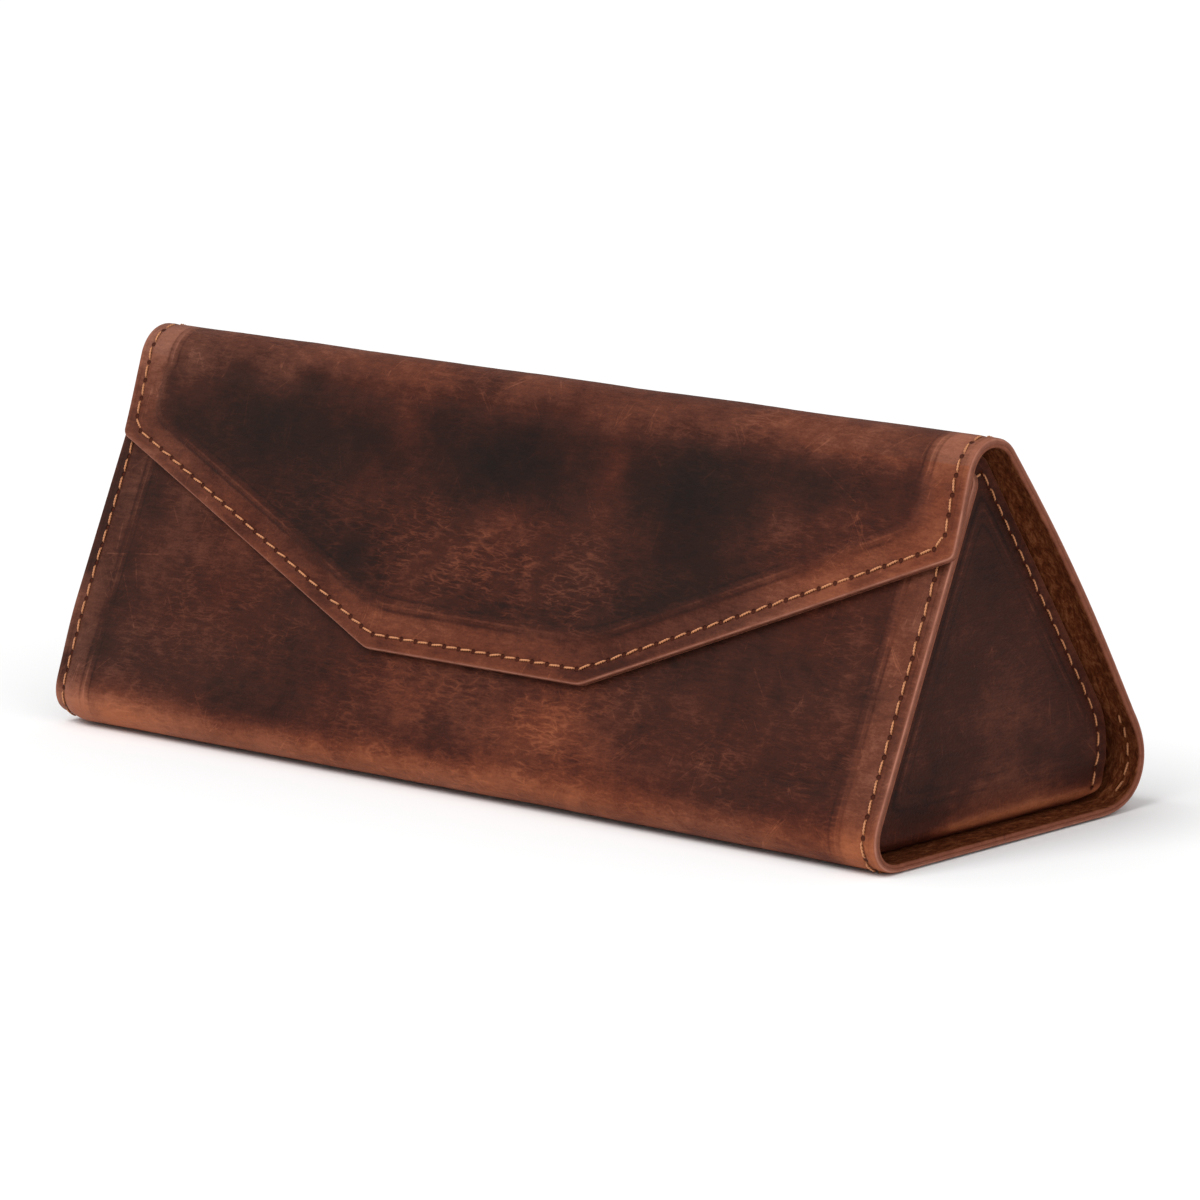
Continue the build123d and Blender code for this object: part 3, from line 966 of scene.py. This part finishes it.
def leather_material(name, strokes=()):
    """Oiled pull-up leather: mottled, creased, porous and scratched, with painted shade in its stitch
    holes, along its seam and between its creases, and a painted highlight on the burnished corner of its
    edges.
    """
    n = Nodes(name)
    flat = n.attribute("flat", "Vector")
    tone, warmth, wrinkle = n.split(n.attribute("look", "Vector"))
    seam = n.split(n.attribute("seam", "Vector"))
    edge = n.attribute("edge")
    outline = n.attribute("outline")
    broad = n.noise(flat, 0.16, 5, 0.66, 0.4)
    grain = n.noise(n.scaled(flat, (0.26, 1.0, 1.0)), 1.3, 4, 0.7)
    specks = n.noise(n.scaled(flat, (0.6, 1.0, 1.0)), 3.0, 3, 0.7)
    value = tone
    for part, amount in ((broad, 0.40), (grain, 0.36), (specks, 0.24)):
        value = n.plus(value, n.math("SUBTRACT", part, 0.5), amount)

    where = n.math("MULTIPLY", n.ramp(n.noise(flat, 0.14, 3, 0.6), 0.30, 0.55), wrinkle)
    ridges, painted_valley_shade = wrinkle_lines(n, flat)
    crease = n.math("MULTIPLY", ridges, where)
    value = n.plus(value, crease, 0.22)
    # Painted shade in the hollows between the creases.
    value = n.plus(value, n.math("MULTIPLY", painted_valley_shade, where), -0.08)
    value = scratches(n, flat, value)
    if strokes:
        value = n.plus(value, strokes_at(n, flat, strokes), n.ramp(grain, 0.35, 0.6, 0.02, 0.15))

    shown = n.ramp(n.noise(flat, 0.08, 2, 0.5), 0.40, 0.60, 0.25, 1.7)
    for place, width, amount in ((-1.1, 0.35, -0.06), (0.1, 0.3, 0.07), (0.9, 0.4, -0.08)):
        value = n.plus(value, n.line(outline, place, width, amount), shown)
    value = n.math("ADD", value, n.ramp(edge, 0.0, 1.3, 0.10, 0.0))
    colour = n.mix(warmth, n.colours(value, grey_browns), n.colours(value, red_browns))
    burnish = n.mix(n.noise(flat, 0.5, 3, 0.6), rim_dark, rim_light)
    colour = n.mix(n.ramp(edge, 0.0, 0.4, 1.0, 0.0), colour, burnish)
    # Painted highlight along the burnished outer corner of the edges, broken up by noise.
    worn = n.ramp(n.noise(flat, 0.3, 3, 0.6), 0.3, 0.6, 0.35, 1.0)
    colour = n.mix(n.math("MULTIPLY", n.line(edge, 0.06, 0.12, 0.75), worn), colour, burnish_and_painted_highlight)
    # Painted shade in the stitch holes and along the groove of the seam.
    hole = n.ramp(hole_distance(n, seam), 0.27, 0.44, 1.0, 0.0)
    groove = n.ramp(seam[1], 0.1, 0.55, 0.25, 0.0)
    colour = n.mix(n.math("MAXIMUM", groove, n.math("MULTIPLY", hole, 0.95)), colour, seam_shade_colour)

    pores = n.cells(n.scaled(flat, (0.8, 1.0, 1.0)), 2.4, "F1")
    fine = n.noise(flat, 1.8, 4, 0.7)
    normal = n.bump(n.plus(fine, pores, 0.3), 0.16, 0.7)
    normal = n.bump(crease, 0.10, 0.9, normal)
    normal = n.bump(hole, -0.35, 1.0, normal)
    return n.finish(colour, n.plus(0.5, grain, 0.2), normal, Specular_IOR_Level=0.11)


def suede_material(name):
    """Rough split leather: short fibres in streaks along the wrap, without shine."""
    n = Nodes(name)
    flat = n.attribute("flat", "Vector")
    edge = n.attribute("edge")
    clump = n.noise(n.scaled(flat, (1.3, 0.5, 1.0), 0.12), 0.9, 4, 0.7, 0.6)
    fibre = n.noise(n.scaled(flat, (2.0, 0.55, 1.0), -0.2), 2.2, 4, 0.75, 0.8)
    value = n.plus(n.math("MULTIPLY", clump, 0.6), fibre, 0.4)
    colour = n.colours(value, [
        (0.33, (0.026, 0.0060, 0.0018)),
        (0.50, (0.110, 0.0270, 0.0090)),
        (0.70, (0.310, 0.1050, 0.0420)),
    ])
    burnish = n.mix(clump, rim_dark, rim_light)
    colour = n.mix(n.ramp(edge, 0.0, 0.4, 1.0, 0.0), colour, burnish)
    return n.finish(colour, 0.95, n.bump(value, 0.6, 1.0), Specular_IOR_Level=0.03)


def thread_material():
    """Waxed two-ply thread, with painted shading: each ply lighter on its outer side and darker underneath
    and between the plies, and darker at the ends of each stitch.
    """
    n = Nodes("waxed_thread")
    fibres = n.noise(n.attribute("flat", "Vector"), 6.0, 3, 0.7)
    # The ply attribute carries painted light and shade on the thread.
    value = n.plus(n.math("MULTIPLY", n.attribute("ply"), 0.75), fibres, 0.35)
    colour = n.colours(value, [
        (0.1, (0.055, 0.012, 0.003)),
        (0.5, (0.240, 0.074, 0.021)),
        (0.9, (0.560, 0.232, 0.098)),
    ])
    return n.finish(colour, 0.5, n.bump(fibres, 0.06, 0.6), Specular_IOR_Level=0.45)


def board_material():
    """Pressed grey-brown fibre board."""
    n = Nodes("fibre_board")
    place = n.add("ShaderNodeTexCoord").outputs["Object"]
    flecks = n.noise(place, 900, 5, 0.7)
    cloud = n.noise(place, 60, 3, 0.6)
    value = n.plus(n.math("MULTIPLY", flecks, 0.6), cloud, 0.4)
    colour = n.colours(value, [(0.3, (0.20, 0.15, 0.10)), (0.7, (0.48, 0.40, 0.30))])
    return n.finish(colour, 0.9, n.bump(flecks, 0.1, 0.5))


def magnet_material():
    """Nickel plating with faint turning marks."""
    n = Nodes("nickel")
    place = n.add("ShaderNodeTexCoord").outputs["Object"]
    marks = n.noise(n.scaled(place, (1, 8, 8)), 400, 3, 0.6)
    colour = n.colours(marks, [(0.3, (0.50, 0.50, 0.51)), (0.7, (0.68, 0.67, 0.65))])
    roughness = n.ramp(marks, 0.2, 0.8, 0.22, 0.38)
    return n.finish(colour, roughness, n.bump(marks, 0.02, 0.4), Metallic=1.0)


wrap_leather = leather_material("pull_up_leather", wrap_strokes)
end_leather = leather_material("end_panel_leather")
suede = suede_material("suede")
waxed_thread = thread_material()
fibre_board = board_material()
nickel = magnet_material()

# ---- the wrap --------------------------------------------------------------------------------------
patterns = {"front": front_pattern, "rear": rear_pattern, "flap": flap_pattern}
wrap_nodes = {
    "front": ["front", "front_fold", "bottom"],
    "rear": ["rear_fold", "back"],
    "flap": ["top_fold", "flap"],
}


def finish_piece(piece, material, nodes):
    """Gives a piece its material in its first slot, hides the CAD nodes it stands for and bakes its
    placement into its points.
    """
    piece.data.materials.append(material)
    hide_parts(*nodes)
    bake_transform(piece)


# Depth in the material's noise, apart for each piece so that no two show the same marks.
wrap_leather_layer = 0
wrap_lining_layer = 30
end_leather_layer = 60
end_lining_layer = 100
layer_per_side = 20


def flat_vector(x, s, layer):
    """Pattern coordinates for the material."""
    return np.stack([x, s, np.full_like(x, layer)], axis=-1)


def make_wrap(name):
    """Outer leather and lining of one length of the wrap."""
    pattern = patterns[name](sheet_steps[name])
    x, s = pattern.points.T
    values = {
        "flat": flat_vector(x, s, wrap_leather_layer),
        "look": look_vector(leather_tone(x, s), leather_warmth(x, s), leather_wrinkle(x, s)),
        "seam": seam_vector(*seam_coordinates(x, s)),
        "outline": np.clip(outline_distance(x, s), -5, 5),
    }
    outer = outer_height(x, s, pattern.distance)
    hidden = leather_back_height(x, s)
    made = make_layer(name + "_wrap_leather", pattern, on_wrap, outer, hidden, values)
    nodes = [n + "_leather" for n in wrap_nodes[name]]
    finish_piece(made, wrap_leather, nodes)

    pattern = patterns[name](lining_step)
    x, s = pattern.points.T
    values = {"flat": flat_vector(x, s, wrap_lining_layer)}
    inner = inner_height(x, s, pattern.distance)
    hidden = lining_back_height(x, s)
    made = make_layer(name + "_wrap_lining", pattern, on_wrap, inner, hidden, values)
    nodes = [n + "_lining" for n in wrap_nodes[name]]
    finish_piece(made, suede, nodes)


for wrap_name in patterns:
    make_wrap(wrap_name)


# ---- end panels ------------------------------------------------------------------------------------
def end_edge_y(z, inset, from_front):
    """Where an end outline's slanted edge stands at a height, at an inset from the wrap's outer faces."""
    if from_front:
        return front_corner_y + inset / math.sin(front_slope) + z / math.tan(front_slope)
    inset = inset - end_rear_gain
    return rear_corner_y - inset / math.sin(back_slope) - z / math.tan(back_slope)


end_low_t = -0.9
end_lining_low_t = 0.4
end_leather_step = 0.4
end_lining_step = 0.7
end_spots = [
    (6, 14, 14, 10, 0.12),
    (4, 3.0, 15, 4.5, 0.12),
    (23, 2.5, 5, 3, -0.12),
    (-12, 9, 4, 8, -0.08),
]
low_width = end_edge_y(0, end_inset, False) - end_edge_y(0, end_inset, True)
width_loss = low_width - end_edge_y(1, end_inset, False) + end_edge_y(1, end_inset, True)
end_top_z = low_width / width_loss
tab_front_y = front_fold_y + tab_side_margin
tab_rear_y = rear_fold_y - tab_side_margin
tab_end_t = -end_fold_length - tab_length
end_corners = [
    (tab_front_y, tab_end_t),
    (tab_front_y, -tab_flare),
    (end_edge_y(end_pivot_z + end_low_t, end_inset, True), end_low_t),
    (end_edge_y(end_top_z, end_inset, True), end_top_z - end_pivot_z),
    (end_edge_y(end_waist_z, end_inset, False), end_waist_z - end_pivot_z),
    (end_foot_y, end_low_t),
    (tab_rear_y, -tab_flare),
    (tab_rear_y, tab_end_t),
]
end_radii = [
    1.5,
    end_front_radius,
    end_top_radius,
    end_waist_radius,
    end_rear_radius,
    1.5,
]


def end_pattern(step, lowest=None):
    """The end panel with its fold and tab, or only the part above a height."""
    runs = rounded_runs(end_corners, end_radii, step / 3)
    left, far, right = joined(runs[:5]), runs[5], joined(runs[6:])[::-1]
    if lowest is not None:
        left, right = (trimmed(side, lowest) for side in (left, right))
    rows = round((end_top_z - end_pivot_z - (lowest or tab_end_t)) / step)
    columns = round((tab_rear_y - tab_front_y + 8) / step)
    return Pattern(resampled(left, rows), resampled(far, columns), resampled(right, rows))


def trimmed(line, lowest):
    """The part of a rising line above a height."""
    first = np.argmax(line[:, 1] > lowest)
    below, above = line[first - 1], line[first]
    share = (lowest - below[1]) / (above[1] - below[1])
    return np.concatenate([[below + share * (above - below)], line[first:]])


def end_board_distance(y, t):
    """Distance outside an end panel's board, negative over it."""
    z = t + end_pivot_z
    inset = end_inset + end_board_margin
    front = (end_edge_y(z, inset, True) - y) * math.sin(front_slope)
    rear = (y - end_edge_y(z, inset, False)) * math.sin(back_slope)
    return soft_max([front, rear, end_board_margin - t], 0.9)


def seam_edge_y(z, from_front):
    """Where an end panel's seam stands at a height."""
    return end_edge_y(z, end_inset + end_stitch_inset, from_front)


inset_loss = 1 / math.sin(front_slope) + 1 / math.sin(back_slope)
end_seam_top_z = end_top_z - end_stitch_inset * inset_loss / width_loss
end_seam_corners = [
    (seam_edge_y(end_pivot_z + end_front_seam_low, True), end_front_seam_low),
    (seam_edge_y(end_seam_top_z, True), end_seam_top_z - end_pivot_z),
    (seam_edge_y(end_waist_z, False), end_waist_z - end_pivot_z),
    (end_foot_y - end_stitch_inset - end_seam_foot_in, end_seam_low),
]
end_seam = joined(rounded_runs(end_seam_corners, [end_seam_top_radius, end_waist_radius], 0.5))
end_seam_length = np.linalg.norm(np.diff(end_seam, axis=0), axis=1).sum()
end_stitches = round(end_seam_length / stitch_pitch)
end_seam_pitch = end_seam_length / end_stitches


def end_seam_coordinates(y, t):
    """Distance from an end panel's seam, and the place along it counted in stitches."""
    away, at = nearest_on_line(y, t, end_seam[::2] if len(end_seam) % 2 else end_seam)
    return away, at / end_seam_pitch


def end_swell(y, t, side):
    """How far an end panel's leather rises over its board, with its slow unevenness."""
    up = end_rise * (1 - smooth(end_board_distance(y, t), 0, end_shoulder))
    waves = 0.06 * layered_noise(y / 13 + 7 * side, t / 11, 15)
    upright = smooth(t, -end_fold_length, 0)
    return (up + waves) * upright - 0.06 * (1 - upright)


def end_outer_height(y, t, distance, side):
    """Height of an end panel's outer face."""
    valley = seam_valley(*end_seam_coordinates(y, t), end_seam_pitch)
    upright = smooth(t, -end_fold_length, 0)
    return end_swell(y, t, side) - valley * upright - round_over(distance, edge_round)


def end_tone(y, t, side):
    """Dark to light over an end panel, with a worn band along its fold."""
    tone = 0.38 + 0.08 * layered_noise(y / 16 + 5 * side, t / 14, 91) - 0.03 * smooth(t, 22, 48)
    worn = np.exp(-(((t + 0.7) / 1.0) ** 2)) * smooth(y, tab_front_y + 4, tab_front_y + 14)
    return tone + 0.38 * worn + patches(y, t, end_spots) + 0.08 * smooth(end_board_distance(y, t), 2.5, 5)


def make_end(name, side):
    """Leather with its fold and tab, and the lining, of one end panel."""

    def place(y, t, height):
        return on_end(side, y, t, height)

    pattern = end_pattern(end_leather_step)
    y, t = pattern.points.T
    away, at = end_seam_coordinates(y, t)
    values = {
        "flat": flat_vector(y, t, end_leather_layer + layer_per_side * side),
        "look": look_vector(end_tone(y, t, side), 0.45 + 0.55 * np.exp(-(((t + 1) / 3.5) ** 2)), 0.15),
        "seam": seam_vector(away, at),
        "outline": np.clip(end_board_distance(y, t), -5, 5),
    }
    hidden = board * (1 - smooth(end_board_distance(y, t), 0.15, 1.5)) - leather + glue_gap
    outer = end_outer_height(y, t, pattern.distance, side)
    made = make_layer(name + "_end_panel_leather", pattern, place, outer, hidden, values)
    nodes = [name + n for n in ("_end_leather", "_end_fold", "_end_tab")]
    finish_piece(made, end_leather, nodes)

    pattern = end_pattern(end_lining_step, lowest=end_lining_low_t)
    y, t = pattern.points.T
    values = {"flat": flat_vector(y, t, end_lining_layer + layer_per_side * side)}
    fuzz = 0.05 * layered_noise(y / 1.3, t / 1.3, 55) * smooth(pattern.distance, 0, 2)
    inner = -wrap + fuzz + round_over(pattern.distance, inner_edge_round)
    back_side = np.full_like(y, -leather - glue_gap)
    made = make_layer(name + "_end_panel_lining", pattern, place, inner, back_side, values)
    finish_piece(made, suede, [name + "_end_lining"])


for end_name, end_side in (("left", -1), ("right", 1)):
    make_end(end_name, end_side)

# ---- stitching -------------------------------------------------------------------------------------
stitch_rings = 13
ply_sides = 6
hole_half = 0.22
stitch_slant = -0.13
stitch_lift = 0.12
stitch_dip = 0.75
stitch_half_twist = 2.9 * math.pi


def point_at(line, distance):
    """Places on a line of points at distances along it."""
    gone = np.concatenate([[0], np.cumsum(np.linalg.norm(np.diff(line, axis=0), axis=1))])
    return np.stack([np.interp(distance, gone, line[:, k]) for k in (0, 1)], axis=-1)


def make_stitches(name, holes, surface, place, outward, seed):
    """Two-ply stitches between neighbouring holes, given as pairs of points on a pattern.

    surface gives the height that a stitch lies on, and outward is 1 on the outside or -1 inside.
    """
    random = np.random.default_rng(seed)
    start, end = holes[:, 0], holes[:, 1]
    middle, run = (start + end) / 2, end - start
    length = np.linalg.norm(run, axis=1)
    ahead = run / length[:, None]
    across = np.stack([-ahead[:, 1], ahead[:, 0]], axis=-1)
    each = (len(holes), 1, 1, 1)
    share = np.linspace(-1, 1, stitch_rings)[None, None, :, None]
    reach = (length / 2 - hole_half).reshape(each) * share
    slant = (stitch_slant + 0.05 * random.standard_normal(len(holes))).reshape(each) * share
    lift = (stitch_lift + 0.03 * random.standard_normal(len(holes))).reshape(each)
    arch = lift - stitch_dip * np.abs(share) ** 7
    phase = random.random(len(holes)).reshape(each) * 2 * math.pi
    ply = np.array([0, math.pi])[None, :, None, None]
    twist = phase + ply + stitch_half_twist * share
    squeeze = 1 - 0.5 * np.abs(share) ** 4
    around = (np.arange(ply_sides) * 2 * math.pi / ply_sides)[None, None, None, :]
    sideways = slant + squeeze * (ply_offset * np.cos(twist) + ply_radius * np.cos(around))
    upward = arch + squeeze * (ply_offset * np.sin(twist) + ply_radius * np.sin(around))
    sideways, upward, reach = np.broadcast_arrays(sideways, upward, reach)
    flat = (
        middle[:, None, None, None, :]
        + reach[..., None] * ahead[:, None, None, None, :]
        + sideways[..., None] * across[:, None, None, None, :]
    )
    height = surface(flat[..., 0], flat[..., 1]) + outward * upward
    points = place(flat[..., 0], flat[..., 1], height).reshape(-1, 3)
    tubes = len(holes) * 2
    index = np.arange(len(points)).reshape(tubes, stitch_rings, ply_sides)
    turned = np.roll(index, -1, axis=2)
    quads = np.stack([index[:, :-1], turned[:, :-1], turned[:, 1:], index[:, 1:]], axis=-1)
    faces = quads.reshape(-1, 4).tolist() + index[:, 0, ::-1].tolist() + index[:, -1].tolist()
    # Painted shading for the thread: each ply lighter on its outer side and darker underneath, and darker
    # towards the stitch ends where they dive into the holes.
    ply_painted_shading = np.broadcast_to(0.5 + 0.5 * np.sin(around), upward.shape)
    stitch_end_shade = np.broadcast_to(1 - 0.8 * np.abs(share) ** 4, upward.shape)
    values = {
        "flat": np.concatenate([flat, np.zeros_like(flat[..., :1])], axis=-1).reshape(-1, 3),
        "ply": (ply_painted_shading * stitch_end_shade).ravel(),
    }
    return make_mesh(name, points, faces, [True] * len(faces), values)


def wrap_seam_point(distance):
    """A place on the wrap's seam, at a distance from its start at the front's top left."""
    distance = np.asarray(distance, float)
    corner = point_at(flap_seam, np.clip(distance - flap_seam_start, 0, flap_seam_length))
    first = distance < flap_seam_start
    last = distance > flap_seam_start + flap_seam_length
    side_x = half - stitch_inset
    x = np.where(first, -side_x, np.where(last, side_x, corner[..., 0]))
    s = np.where(first, distance + stitch_inset, corner[..., 1])
    s = np.where(last, seam_total - distance + stitch_inset, s)
    return np.stack([x, s], axis=-1)


def seam_outer(x, s):
    """Height of the outer leather along the seam, without the dips at its holes."""
    calm = smooth(stitch_inset, 0.3, 3.0)
    return relief(x, s)[0] * calm - seam_depth


def seam_inner(x, s):
    """Height of the lining along the seam, whose nap swallows the stitches except round the rear fold."""
    shown = smooth(s, bottom_end + 5, bottom_end + 8) * (1 - smooth(s, back_foot - 1, back_foot + 2))
    return -wrap + seam_depth + sunk_stitch * (1 - shown) * (s < back_top + 3)


all_holes = wrap_seam_point(np.arange(seam_stitches + 1) * seam_pitch)
stitch_ends = np.stack([all_holes[:-1], all_holes[1:]], axis=1)
stitch_s = stitch_ends[:, :, 1].mean(axis=1)
stitch_parts = {
    "front": stitch_s < bottom_middle,
    "rear": (stitch_s >= bottom_middle) & (stitch_s < wrap_cut),
    "flap": stitch_s >= wrap_cut,
}


def join_pieces(name, pieces):
    """One mesh object from several."""
    with bpy.context.temp_override(
        active_object=pieces[0], selected_editable_objects=pieces, selected_objects=pieces
    ):
        bpy.ops.object.join()
    pieces[0].name = name
    return pieces[0]


for part_number, (part_name, chosen) in enumerate(stitch_parts.items()):
    outside = make_stitches("stitches_out", stitch_ends[chosen], seam_outer, on_wrap, 1, 100 + part_number)
    inside = make_stitches("stitches_in", stitch_ends[chosen], seam_inner, on_wrap, -1, 200 + part_number)
    seam_piece = join_pieces(part_name + "_wrap_stitching", [outside, inside])
    seam_nodes = [n + "_stitching" for n in wrap_nodes[part_name]]
    finish_piece(seam_piece, waxed_thread, seam_nodes)


def make_end_stitches(name, side):
    """Both sides of an end panel's stitching."""

    def place(y, t, height):
        return on_end(side, y, t, height)

    def outer(y, t):
        return end_swell(y, t, side) - seam_depth

    def inner(y, t):
        return np.full(np.shape(y), -wrap + 0.05)

    holes = point_at(end_seam, np.arange(end_stitches + 1) * end_seam_pitch)
    ends = np.stack([holes[:-1], holes[1:]], axis=1)
    outside = make_stitches("stitches_out", ends, outer, place, 1, 300 + side)
    inside = make_stitches("stitches_in", ends, inner, place, -1, 400 + side)
    piece = join_pieces(name + "_end_panel_stitching", [outside, inside])
    piece.data.materials.append(waxed_thread)
    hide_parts(name + "_end_stitching")
    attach(piece, name + "_end")


for end_name, end_side in (("left", -1), ("right", 1)):
    make_end_stitches(end_name, end_side)

# ---- CAD nodes that stay: boards and magnets, hidden inside ------------------------------------------
for node_name, node in frame["nodes"].items():
    kind = {"board": fibre_board, "magnets": nickel}.get(node_name.split("_")[-1])
    if kind is not None:
        node.data.materials.clear()
        node.data.materials.append(kind)


# ---- floor and light -------------------------------------------------------------------------------
def make_floor():
    """A plain pale floor."""
    size = 6.0
    mesh = bpy.data.meshes.new("floor")
    corners = [(-size, -size, 0), (size, -size, 0), (size, size, 0), (-size, size, 0)]
    mesh.from_pydata(corners, [], [(0, 1, 2, 3)])
    floor = bpy.data.objects.new("floor", mesh)
    bpy.context.scene.collection.objects.link(floor)
    n = Nodes("pale_floor")
    cloud = n.noise(n.add("ShaderNodeTexCoord").outputs["Object"], 3.0, 2, 0.5)
    colour = n.colours(cloud, [(0.3, (0.94, 0.94, 0.94)), (0.7, (0.96, 0.96, 0.96))])
    mesh.materials.append(n.finish(colour, 0.9, Specular_IOR_Level=0.1))


def area_light(name, place, aim, size, power):
    """A soft square light aimed at a point."""
    data = bpy.data.lights.new(name, "AREA")
    data.shape = "SQUARE"
    data.size = size
    data.energy = power
    light = bpy.data.objects.new(name, data)
    bpy.context.scene.collection.objects.link(light)
    turn = (Vector(aim) - Vector(place)).to_track_quat("-Z", "Y").to_matrix().to_4x4()
    light.matrix_world = Matrix.Translation(place) @ turn


def make_world(brightness):
    """Even white surroundings."""
    world = bpy.data.worlds.new("studio")
    bpy.context.scene.world = world
    world.use_nodes = True
    background = world.node_tree.nodes["Background"]
    background.inputs["Color"].default_value = (1, 1, 1, 1)
    background.inputs["Strength"].default_value = brightness


def sun_light(towards, strength, spread):
    """An even, softly spread light from one direction."""
    data = bpy.data.lights.new("key", "SUN")
    data.energy = strength
    data.angle = math.radians(spread)
    light = bpy.data.objects.new("key", data)
    bpy.context.scene.collection.objects.link(light)
    light.matrix_world = Vector(towards).to_track_quat("Z", "Y").to_matrix().to_4x4()


make_floor()
make_world(brightness=0.55)
sun_light(towards=(-0.05, -0.62, 0.78), strength=2.1, spread=40)
area_light("fill", place=(1.5, -0.6, 0.8), aim=(0, 0, 0.03), size=1.4, power=7)

bpy.context.scene.view_settings.view_transform = "Standard"
